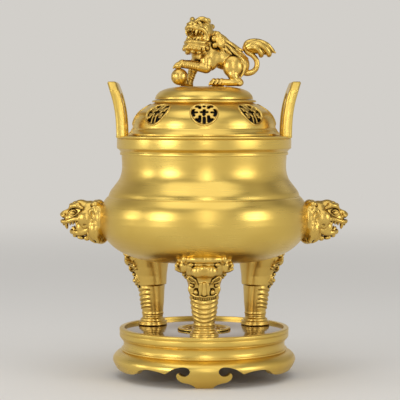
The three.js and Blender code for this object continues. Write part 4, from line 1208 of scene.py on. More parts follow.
@dataclass
class Legs:
    """Three cast legs: a beast mask with bared teeth over a ringed shin and a flared hem."""

    bowl: Bowl
    axis: float = 65.2
    base: float = 51.3
    square: float = 2.4
    # Height, half width, and reach outwards and inwards from the leg's own axis.
    stations: tuple[Joint, ...] = (
        (50, 14.4, 14.5, 14.3), (53.6, 14.4, 14.5, 14.3), (56.8, 12.6, 12.8, 12.4),
        (61, 10.4, 10.5, 10.1), (66.4, 11, 11.4, 10.8), (77.3, 12.6, 13, 11.4),
        (88.2, 13.9, 14.2, 11.4), (95.6, 15, 16.4, 11.4), (96.1, 15.6, 17, 13.7),
        (106.3, 16.9, 20.4, 13.7), (116.1, 20, 25, 14), (125.2, 24.2, 28.3, 14.3),
        (142, 24.6, 29, 14.4),
    )
    # From here on a form's first number is its lift above the column's face, not its reach.
    brow: tuple[Form, ...] = (
        Lump((-2.4, 0, 122.4), (5.4, 13.5, 6.2), blend=2),
        Lump((-0.4, 6.8, 122.2), (5.4, 6.8, 6.8), (10, 0, 0), pair=True, blend=1),
        Lump((-0.8, 0, 125.2), (4.4, 4.6, 3.8), blend=1.6),
        Lump((3, 0, 111.8), (3.8, 7, 2.9), cut=True, blend=2),
        Strand(
            ((-0.8, 0, 134.4, 3.9), (-0.8, 9, 134.4, 3.9), (-0.2, 16.6, 134.2, 3.6)),
            pair=True, blend=0.8,
        ),
        Lump((0.8, 18.6, 133.2), (3.4, 3.2, 4.8), pair=True, blend=0.4),
        Lump((2, 13.6, 129.2), (2.3, 2.7, 2.2), pair=True, blend=0.3),
        Strand(((2.2, -10, 129.9, 1), (2.2, 0, 129.7, 1.1), (2.2, 10, 129.9, 1)), cut=True, blend=0.8),
    )
    tufts: tuple[Form, ...] = (
        Lump((-1.4, 21.6, 127), (5.4, 4.2, 8), pair=True, blend=1.6),
        *lumps(
            ((4.4, 24.8, 133.8), (4.2, 3.7, 4.2)), ((7.4, 20.8, 134.6), (2.6, 2.6, 3.8)),
            ((3.4, 23, 127.6), (4.2, 3.3, 2.8)), ((6.4, 27, 129.6), (4.4, 2.6, 2.4)),
            pair=True,
        ),
        *strands(
            ((2, 21, 120, 1.5), (4.6, 25.4, 122, 2), (7, 29.4, 123.6, 1.3)),
            ((4.6, 25.6, 124.6, 1.2), (7.4, 28.8, 126.4, 1.6), (7, 29.6, 128.6, 0.9)),
            pair=True,
        ),
        *lumps(((2.2, 21, 117.6), (2.2, 2.2, 2)), ((1.6, 19.2, 114.6), (1.8, 1.8, 1.7)), pair=True),
    )
    ears: tuple[Form, ...] = (
        Lump((0.4, 12.6, 112.6), (2.2, 5.8, 3.3), (26, 0, 0), pair=True),
        Strand(
            (
                (1.2, 7.6, 108.8, 0.8), (1.9, 9.6, 113.2, 1), (2, 14, 115.8, 1.05),
                (2, 18.2, 116.6, 0.9), (1.8, 18, 113.4, 0.8), (1.6, 14.6, 110.9, 0.8),
            ),
            pair=True, blend=0.4,
        ),
        Lump((2.6, 13.2, 112.9), (1.5, 4, 1.5), (26, 0, 0), pair=True, cut=True, blend=0.6),
    )
    face: tuple[Form, ...] = (
        Lump((-1.2, 13.2, 102.6), (2.2, 3.8, 5), pair=True, blend=1.8),
        Lump((0, 12.6, 107.2), (3.2, 3.1, 2.8), pair=True, cut=True, blend=0.8),
        Lump((0.6, 12.6, 107.2), (2.3, 2.3, 2.2), pair=True, blend=0.3),
        Strand(((0.2, 3.7, 108.6, 1.7), (1, 4.1, 103.4, 2.2), (1.4, 4.5, 98.8, 2.4)), pair=True, blend=0.9),
        Strand(((0.6, 0, 109.2, 1.8), (2, 0, 103.4, 2.2), (3, 0, 98.4, 2.6)), blend=0.9),
        Lump((1.4, 8.3, 100), (3.9, 4.1, 4), pair=True, cut=True, blend=0.6),
        Lump((1.2, 8.3, 100), (3, 2.9, 2.8), pair=True, blend=0.3),
        Strand(
            (
                (1.6, 0, 94.6, 1.2), (1.6, 4, 95.4, 1.3), (1.6, 8.4, 95.6, 1.45), (1.4, 12.2, 97.2, 1.5),
                (1.2, 15.2, 99.8, 1.1),
            ),
            pair=True, blend=0.5,
        ),
        Strand(
            (
                (0.6, -13.4, 94, 1.2), (0.9, -7, 92.7, 1.9), (0.9, 0, 91.9, 2), (0.9, 7, 92.7, 1.9),
                (0.6, 13.4, 94, 1.2),
            ),
            cut=True, blend=0.4,
        ),
    )
    teeth: int = 14
    teeth_half: float = 11.9
    # A tooth's root and tip: lift, height, how much the corners of the mouth rise, and radius.
    tooth: tuple[Joint, ...] = ((0.7, 93.6, 1.0, 0.75), (0.5, 91.2, 1.6, 0.6))
    rings: tuple[float, ...] = (88.0, 82.6, 77.4, 72.7, 68.5)
    ring_turns: tuple[int, ...] = (-106, -94, -80, -66, -50, -34, -17, 0, 17, 34, 50, 66, 80, 94, 106)
    ring_thick: float = 2.5
    ring_ends: Flat = (1.0, 1.9)  # how thick a ring is at its first two and last two joints
    ring_sink: float = 0.62  # how much of a ring's radius lies in the leg
    droop: float = 4.8
    groove: Flat = (0.5, 0.75)  # a groove's lift and radius
    last_groove: float = 4.4  # how far below the last ring the next would be
    hem_sink: float = 0.5
    hem_turn: int = 20
    side_share: float = 0.97  # how near its side the column's face is still asked for
    hem: tuple[Flat, ...] = ((64.4, 1.3), (62.0, 1.1), (57.6, 1.2), (54.7, 1.5), (52.4, 1.3))

    def span(self, z: float | np.ndarray) -> tuple[np.ndarray, np.ndarray, np.ndarray]:
        """Gives the column's half width and its two reaches at a height."""
        heights, *sizes = np.array(self.stations).T
        return tuple(np.interp(z, heights, size) for size in sizes)

    def face_at(self, side: float, z: float) -> float:
        """Finds how far out the column's face lies.

        Args:
            side: how far to the side.
            z: how high.

        Returns:
            The distance from the burner's axis.
        """
        half, outer, _ = self.span(z)
        share = min(abs(side) / half, self.side_share) ** self.square
        return self.axis + float(outer) * (1 - share) ** (1 / self.square)

    def lay(self, forms: tuple[Form, ...]) -> tuple[Form, ...]:
        """Turns forms with a lift over the face into forms with a reach from the burner's axis.

        Args:
            forms: the forms, with lifts.

        Returns:
            The same forms, in place.
        """
        placed: list[Form] = []
        for form in forms:
            if isinstance(form, Lump):
                lift, side, z = form.middle
                placed.append(replace(form, middle=(self.face_at(side, z) + lift, side, z)))
            else:
                joints = tuple((self.face_at(s, z) + lift, s, z, r) for lift, s, z, r in form.joints)
                placed.append(replace(form, joints=joints))
        return tuple(placed)

    def column(self, pattern: CastingPattern) -> None:
        """Lays the plain column that the carving sits on."""
        slices, (x, y, z) = pattern.everywhere()
        half, outer, inner = (v.astype(np.float32) for v in self.span(z))
        reach = -y - self.axis
        along = np.where(reach > 0, outer, inner)
        share = (np.abs(x) / half) ** self.square + (np.abs(reach) / along) ** self.square
        share = np.maximum(share, 1e-4) ** (1 / self.square)
        distance = np.sqrt(x * x + reach * reach) * (1 - 1 / share)
        distance = np.maximum(distance, self.base - z)
        pattern.merge(slices, distance, blend=0.2)

    def round_column(self, degrees: float, z: float, lift: float, thick: float) -> Joint:
        """Gives a joint on the column's face, told by its direction from the leg's own axis.

        Args:
            degrees: the direction, 0 straight outwards.
            z: how high.
            lift: how far off the face.
            thick: the joint's radius.

        Returns:
            The joint.
        """
        half, outer, inner = (float(v) for v in self.span(z))
        sine, cosine = math.sin(math.radians(degrees)), math.cos(math.radians(degrees))
        along = outer if cosine > 0 else inner
        share = (abs(sine) / half) ** self.square + (abs(cosine) / along) ** self.square
        reach = share ** (-1 / self.square) + lift
        return (self.axis + reach * cosine, reach * sine, z, thick)

    def shin(self) -> tuple[Form, ...]:
        """Gives the sagging rings of the shin, the grooves between them and the bands of the hem."""
        forms: list[Form] = []
        sag = [self.droop * math.sin(math.radians(turn)) ** 2 for turn in self.ring_turns]
        thick = [*self.ring_ends, *[self.ring_thick] * (len(sag) - 4), *reversed(self.ring_ends)]
        lift, width = self.groove
        for z, below in zip(self.rings, [*self.rings[1:], self.rings[-1] - self.last_groove]):
            ring, groove = [], []
            for turn, down, radius in zip(self.ring_turns, sag, thick):
                ring.append(self.round_column(turn, z + down, -radius * self.ring_sink, radius))
                groove.append(self.round_column(turn, (z + below) / 2 + down, lift, width))
            forms += [Strand(tuple(ring), blend=0.5), Strand(tuple(groove), cut=True, blend=0.4)]
        for z, radius in self.hem:
            turns = range(-180, 181, self.hem_turn)
            band = tuple(self.round_column(turn, z, -self.hem_sink, radius) for turn in turns)
            forms.append(Strand(band, blend=0.6))
        return tuple(forms)

    def tooth_row(self) -> tuple[Form, ...]:
        """Gives the teeth, smaller towards the mouth's corners."""
        rows = []
        for i in range(self.teeth):
            side = self.teeth_half * (2 * i / (self.teeth - 1) - 1)
            sag = (side / self.teeth_half) ** 2
            rows.append(tuple((lift, side, z + rise * sag, radius) for lift, z, rise, radius in self.tooth))
        return strands(*rows, blend=0.2)

    def build(self) -> None:
        """Casts one leg, and seats it and its two turned copies."""
        pattern = CastingPattern(low=(-31.5, -97.5, 50.0), high=(31.5, -49.0, 139.5), step=0.5)
        self.column(pattern)
        for forms in (self.brow, self.tufts, self.ears):
            pattern.add(self.lay(forms), FRONT)
        pattern.add(self.shin(), FRONT)
        for forms in (self.face, self.tooth_row()):
            pattern.add(self.lay(forms), FRONT)
        self.bowl.clear(pattern, sink=1.5)
        pattern.saw_flat(self.base)
        cast = pattern.skin()
        for name, degrees in (("front", 0), ("rear_right", 120), ("rear_left", 240)):
            seat(cast.turned(degrees).object("leg_cast_" + name), Body.POT, CAST, "leg_" + name)


@dataclass
class LionHeads:
    """Two cast lion heads on the belly, with open jaws."""

    bowl: Bowl
    skull: tuple[Form, ...] = (
        Lump((110, 0, 166), (9, 15.5, 20.5), blend=2),
        *lumps(((112, 0, 151), (8, 11, 8)), ((123, 0, 177), (13.5, 12.5, 13.2), (0, -6, 0)), blend=3),
        Lump((127, 11, 171.5), (9.5, 6, 9.5), pair=True, blend=3),
        Lump((140, 0, 173), (12, 9.5, 6.8), (0, 14, 0), blend=3),
        Lump((117, 12.5, 160), (8, 6.5, 12), pair=True, blend=3),
        Lump((133, 0, 180), (11, 8.4, 11.4), blend=2),
    )
    features: tuple[Form, ...] = (
        *lumps(((141.5, 0, 161), (13.5, 7.2, 6.4)), ((131, 0, 160), (6, 8.5, 5.2)), cut=True, blend=1.4),
        Lump((130.6, 9.8, 161.4), (6.2, 2.2, 7.6), pair=True, blend=1.2),
        Strand(
            ((134.6, 10.2, 168.6, 1.3), (137.2, 9.8, 164.4, 1.2), (136.4, 9.2, 159.6, 1.3)),
            pair=True, blend=0.6,
        ),
        Lump((141.6, 9.6, 177.2), (3.8, 2.6, 3.4), pair=True, cut=True, blend=0.8),
        Lump((141.4, 6.9, 177), (3.4, 3.1, 3), pair=True, blend=0.4),
        Strand(
            (
                (137.8, 9.4, 178.8, 0.6), (140.6, 9.6, 180.3, 0.8), (143.9, 8.4, 179.2, 0.8),
                (145.6, 7.2, 176.9, 0.7), (143.8, 8.6, 174.3, 0.8), (140.6, 9.9, 174, 0.8),
                (137.6, 9.9, 175.6, 0.6),
            ),
            pair=True, blend=0.4,
        ),
        Strand(
            (
                (131, 10.6, 182.6, 1.7), (136.8, 9.4, 185.2, 2.5), (142.2, 6.6, 184.2, 2.8),
                (145, 3.4, 180.6, 2),
            ),
            pair=True,
        ),
        *lumps(
            ((139.4, 5.4, 187), (3, 2.6, 2.6)), ((143.2, 2.6, 185.2), (2.6, 2.2, 2.5)),
            ((135.4, 8.6, 186.8), (2.6, 2.2, 2.2)),
            pair=True,
        ),
        Strand(((143, 0, 182.5, 1.9), (147, 0, 178.8, 2.6), (151, 0, 176.2, 3.4)), blend=1.4),
        Lump((151.6, 0, 175.2), (4.3, 5.2, 3.2), blend=0.8),
        Lump((151.6, 4.2, 174), (2.8, 2.4, 2.5), pair=True, blend=0.5),
        Lump((154.4, 3.4, 173.6), (1.4, 1.1, 1), pair=True, cut=True, blend=0.3),
        Strand(
            ((148.4, 6.4, 176.8, 0.7), (150, 6.6, 173.4, 0.8), (152.8, 5.2, 171.2, 0.7)),
            pair=True, cut=True,
        ),
        Strand(
            (
                (129.8, 11.8, 168, 1.6), (134.8, 11.4, 170.6, 2.1), (140.6, 9.8, 170.4, 2.3),
                (147.4, 7.6, 168.2, 2.4), (152.2, 4.2, 167.6, 2.3), (153.4, 0, 168, 2),
            ),
            pair=True, blend=0.8,
        ),
        Strand(
            ((149, 5.2, 166.6, 2.1), (148.6, 5.4, 162.8, 1.5), (147.8, 5.2, 159.8, 0.5)),
            pair=True, blend=0.3,
        ),
        *strands(
            ((152, 1.5, 166.6, 1.2), (151.8, 1.5, 164, 0.9)),
            ((144.6, 7.4, 167.2, 1.2), (144.4, 7.2, 164.4, 0.8)),
            ((141.4, 8.4, 168.2, 1.2), (141.2, 8.2, 165.2, 0.8)),
            ((138.2, 9, 168.8, 1.2), (138, 8.8, 165.8, 0.8)),
            pair=True, blend=0.2,
        ),
    )
    jaw: tuple[Form, ...] = (
        Strand(
            (
                (122, 9.6, 163, 3.8), (126.6, 9.4, 158.2, 3.5), (132.6, 7.8, 155.8, 3.3),
                (139, 4.8, 156.2, 3.1), (142.2, 0, 156.8, 3),
            ),
            pair=True, blend=1.4,
        ),
        Lump((133.5, 0, 155.2), (8, 7, 3.6), blend=1.6),
        Strand(
            (
                (127, 8.4, 161.6, 1.2), (132.2, 7.6, 159.2, 1.4), (138.6, 5, 159, 1.4),
                (142, 0, 159.4, 1.3),
            ),
            pair=True, blend=0.4,
        ),
        Strand(((140.2, 4.8, 158.6, 1.5), (140.8, 5, 162.6, 0.5)), pair=True, blend=0.3),
        *strands(
            ((142.2, 1.4, 159.2, 1.1), (142.5, 1.4, 161.6, 0.7)),
            ((135.6, 6.8, 159.4, 1.1), (136, 6.8, 162, 0.7)),
            pair=True, blend=0.2,
        ),
        Lump((135, 0, 160.4), (8, 4.4, 1.9), (0, -4, 0), blend=0.8),
        Strand(((127.4, 0, 162.2, 0.5), (135, 0, 162.6, 0.5), (142, 0, 162, 0.4)), cut=True, blend=0.5),
        Lump((128.2, 12.4, 164.4), (4.2, 2.6, 3.8), pair=True, blend=0.4),
        Lump((128.4, 15.2, 164.4), (1.9, 1.2, 1.7), pair=True, cut=True, blend=0.5),
        Lump((121.2, 13.6, 162.4), (3.4, 2.4, 3), pair=True, blend=0.5),
    )
    mane: tuple[Form, ...] = (
        *lumps(
            ((133, 5.6, 150.6), (4.2, 2.9, 2.3), (0, -10, 0)), ((139.2, 3, 152.8), (2.8, 2.6, 2.3)),
            ((126.2, 8.4, 150.2), (3.4, 3, 3)),
            pair=True, blend=0.4,
        ),
        *strands(
            (
                (120.6, 11.8, 158.4, 2.2), (123.4, 11.2, 154.4, 2.8), (121.2, 9.8, 149.6, 2.6),
                (117.6, 8.6, 146.2, 1.6),
            ),
            ((113.6, 15.6, 160, 2.6), (116, 15, 153.6, 3), (113.6, 12.4, 147.4, 2.6)),
            pair=True, blend=0.4,
        ),
        Lump((115.5, 4.4, 147), (4.4, 3.6, 3), pair=True, blend=0.5),
        *lumps(
            ((116.6, 12, 187), (5, 4.6, 3.6)), ((114, 4.6, 187.8), (4.8, 4.4, 3.4)),
            pair=True, blend=0.4,
        ),
        Strand(
            ((117.6, 14.8, 184.6, 1.2), (121.2, 15.4, 180.4, 2), (122.8, 15.4, 176.8, 1.7)),
            pair=True, blend=0.4,
        ),
        Lump((117.4, 15.4, 177), (5, 2.9, 7.4), (0, 12, 0), pair=True, blend=0.5),
        Lump((119.2, 18, 176), (2.3, 1.8, 4.3), (0, 12, 0), pair=True, cut=True, blend=0.6),
        Lump((112, 13, 171), (6.5, 6.5, 13.5), pair=True, blend=1.6),
        Lump((114, 9.5, 182.6), (6.5, 6.5, 5.5), pair=True, blend=1.2),
        Lump((117.2, 16, 165.6), (4.4, 2.8, 4), pair=True, blend=0.5),
    )

    def build(self) -> None:
        """Casts one head, and seats it and its turned copy."""
        pattern = CastingPattern(low=(100.0, -23.0, 139.5), high=(157.5, 23.0, 193.0), step=0.45)
        for forms in (self.skull, self.features, self.jaw, self.mane):
            pattern.add(forms)
        self.bowl.clear(pattern, sink=1.5)
        cast = pattern.skin()
        seat(cast.object("lion_head_cast_right"), Body.POT, CAST, "lion_head_right")
        seat(cast.turned(180).object("lion_head_cast_left"), Body.POT, CAST, "lion_head_left")


@dataclass
class Lid:
    """The stepped lid: a lower dome with eight pierced roundels, and the cap that carries the finial."""

    lower: tuple[Flat, ...] = (
        (70.4, 252.9), (73.2, 252.9), (73.4, 260.7), (81.8, 260.7), (81.8, 262.7), (80.4, 263.9),
        (79, 265.6), (78.3, 267.2), (77.3, 268.2), (77, 269.2),
    )
    dome: tuple[Flat, ...] = (
        (77, 269.2), (76.7, 273.9), (74.4, 280.8), (69.6, 286.7), (62.6, 291.3), (55.2, 294.8),
    )
    landing: tuple[Flat, ...] = (
        (53, 295.4), (53.4, 296.1), (56, 296.2), (56.2, 297), (56, 298), (54.6, 298.5),
        (52.6, 299.1), (48.3, 299.1),
    )
    under: tuple[Flat, ...] = (
        (48.3, 294.4), (54.2, 291.9), (61.4, 288.6), (67.6, 284.6), (71.8, 279.6), (73.7, 273.4),
        (70.4, 266),
    )
    cap: tuple[Flat, ...] = (
        (52.8, 299.5), (52.5, 301.6), (51.2, 304.3), (47.5, 307.9), (40.1, 310.9), (29.6, 312.7),
        (15.8, 313.35), (0, 313.45),
    )
    cap_under: tuple[Flat, ...] = (
        (0, 310.5), (15.6, 310.4), (28.8, 309.7), (38.4, 308.1), (44.6, 305.4), (45, 296.1), (47.7, 296.1),
        (47.7, 299.4),
    )
    # the near-black sheet under the dome, which shows as painted shade through the roundels
    screen: tuple[Flat, ...] = (
        (50.6, 292.6), (56, 290.4), (61.6, 287.6), (66.6, 283.8), (70.4, 279.2), (72.4, 273.6),
        (70.4, 268.4), (70, 268.4), (72, 273.6), (70.1, 279), (66.3, 283.5), (61.4, 287.3),
        (55.8, 290), (50.4, 292.2),
    )
    roundel_count: int = 8
    roundel_centre: Flat = (66.1, 282.2)
    roundel_raise: float = 40.4
    hole: float = 15.35
    border: float = 14.6
    # The pierced pattern is told in shares of the piercing's radius: across, up, and half sizes.
    piercing: float = 13.4
    lobes: tuple[Joint, ...] = (
        (0, 0.24, 0.11, 0.13), (-0.02, -0.22, 0.11, 0.13), (-0.22, 0.02, 0.11, 0.11),
        (0.22, 0.02, 0.11, 0.11), (0, 0.02, 0.16, 0.14),
    )
    slots: tuple[tuple[Flat, ...], ...] = (
        ((0, 0.74), (0, 0.8)), ((0, -0.52), (0, -0.86)), ((0.58, 0.0), (0.85, 0.0)),
        ((0.8, 0.32), (0.87, 0.16), (0.88, 0), (0.87, -0.16), (0.8, -0.32)),
        ((0.6, 0.68), (0.44, 0.78), (0.34, 0.78), (0.34, 0.5), (0.38, 0.66), (0.5, 0.7)),
        ((0.62, -0.64), (0.46, -0.74), (0.34, -0.78), (0.33, -0.4), (0.38, -0.6), (0.5, -0.66)),
    )
    slot_half: float = 0.1
    lobe_swell: float = 1.1  # how much wider the lobes are cut than the shares say
    through: float = 30.0  # more than any thickness that is cut through
    bore_depths: Flat = (-20.0, 22.0)
    bore_steps: int = 72
    disc_gap: float = 0.12  # between a roundel and its hole
    disc_half: float = 1.3  # half a roundel's thickness
    border_half: float = 0.85
    border_squeeze: float = 0.8  # below 1, the border's roll is higher than it is wide

    def place(self) -> Place:
        """The front roundel's place: out along its own axis, across to the right, up the dome."""
        lift = math.radians(self.roundel_raise)
        radius, height = self.roundel_centre
        return Place(
            (0, -radius, height),
            (0, -math.cos(lift), math.sin(lift)),
            (1, 0, 0),
            (0, math.sin(lift), math.cos(lift)),
        )

    def dome_line(self) -> tuple[np.ndarray, np.ndarray]:
        """The dome's outer line, as radii and heights that rise."""
        radius, height = np.array([*flowing(self.dome, per_span=10), *self.landing[:1]]).T
        return radius, np.maximum.accumulate(height) + np.arange(len(height)) * 1e-6

    def shell(self) -> bpy.types.Object:
        """Turns the lower dome and bores its eight holes."""
        outer = [*self.lower[:-1], *flowing(self.dome, per_span=9), *self.landing]
        outline = eased([*outer, *flowing(self.under, per_span=5)], radius=0.35)
        body = turned("lid_dome_shell", outline, steps=224)
        place, steps = self.place(), self.bore_steps
        points = []
        for depth in self.bore_depths:
            for i in range(steps):
                angle = math.tau * i / steps
                points.append(place.spot((depth, self.hole * math.sin(angle), self.hole * math.cos(angle))))
        sides = [(i, (i + 1) % steps, steps + (i + 1) % steps, steps + i) for i in range(steps)]
        ends = [list(range(steps)), list(range(steps, 2 * steps))]
        cutter = make_object("bore", points, [*sides, *ends])
        return carve(body, RingOfCopies(self.roundel_count).make(cutter, SPUN))

    def drill(self, pattern: CastingPattern, line: list[Flat]) -> None:
        """Drills a slot through the flat roundel.

        Args:
            pattern: the roundel's block.
            line: the slot's middle line, across and up.
        """
        slices, (_, y, z) = pattern.everywhere()
        nearest = np.full(np.broadcast(y, z).shape, pattern.FAR, np.float32)
        for (a0, u0), (a1, u1) in zip(line, line[1:]):
            across, up = a1 - a0, u1 - u0
            run = max(across**2 + up**2, TINY)
            t = np.clip(((y - a0) * across + (z - u0) * up) / run, 0, 1)
            nearest = np.minimum(nearest, np.sqrt((y - a0 - t * across) ** 2 + (z - u0 - t * up) ** 2))
        bore = np.broadcast_to(nearest - self.slot_half * self.piercing, pattern.distance[slices].shape)
        pattern.merge(slices, bore, blend=0.9, cut=True)

    def roundel(self) -> bpy.types.Object:
        """Casts the front roundel flat, then bends it onto the dome."""
        reach = self.hole + 1.4
        pattern = CastingPattern(low=(-4.4, -reach, -reach), high=(3.6, reach, reach), step=0.5)
        slices, (x, y, z) = pattern.everywhere()
        off = np.sqrt(y * y + z * z)
        disc = np.maximum(off - (self.hole - self.disc_gap), np.abs(x + self.disc_half) - self.disc_half)
        pattern.merge(slices, disc, blend=0.5)
        rim = np.sqrt((off - self.border) ** 2 + (x * self.border_squeeze) ** 2) - self.border_half
        pattern.merge(slices, rim, blend=0.5)
        share, swell = self.piercing, self.lobe_swell
        for across, up, wide, high in self.lobes:
            half = (self.through, wide * share * swell, high * share * swell)
            pattern.add((Lump((0, across * share, up * share), half, cut=True, blend=0.5),))
        for slot in self.slots:
            for side in (1, -1):
                self.drill(pattern, [(side * across * share, up * share) for across, up in slot])
        return self.bent(pattern.skin(hollow=1.2))

    def bent(self, cast: Casting) -> bpy.types.Object:
        """Bends a flat roundel onto the dome's curve.

        Args:
            cast: the flat roundel, its face at 0 and its back below.

        Returns:
            The roundel in place at the front.
        """
        radius, height = self.dome_line()
        lift = math.radians(self.roundel_raise)
        out = np.array([math.cos(lift), math.sin(lift)])
        up = np.array([-math.sin(lift), math.cos(lift)])
        line = np.stack([radius, height], axis=1) - np.array(self.roundel_centre)
        along, bulge = line @ up, line @ out
        order = np.argsort(along)
        depth, across, rise = cast.points.T
        swell = np.interp(rise, along[order], bulge[order])
        middle_radius = self.roundel_centre[0] + swell * out[0] + rise * up[0]
        sink = middle_radius - np.sqrt(np.maximum(middle_radius**2 - across**2, 0))
        spots = np.stack([swell - sink * out[0] + depth, across, rise - sink * up[0]], axis=1)
        place = self.place()
        axes = np.array([place.out, place.side, place.up])
        points = np.array(place.origin) + spots @ axes
        return Casting(points, cast.faces, cast.normals @ axes, cast.recess).object("lid_roundels")

    def build(self) -> None:
        """Makes and seats the lid's pieces."""
        seat(self.shell(), Body.LID, SPUN, "lid_dome")
        cap = eased(flowing(self.cap, per_span=8), radius=0.3, closed=False)
        seat(turned("lid_cap_turned", [*reversed(cap), *reversed(self.cap_under)]), Body.LID, SPUN, "lid_cap")
        # a near-black sheet under the dome: painted shade behind the roundels' piercings
        seat(turned("shade_screen", self.screen, steps=96), Body.LID, SHADE_CLOTH)
        ring = RingOfCopies(self.roundel_count).make(self.roundel(), CAST)
        seat(ring, Body.LID, CAST, *[f"roundel_{i + 1}" for i in range(self.roundel_count)])


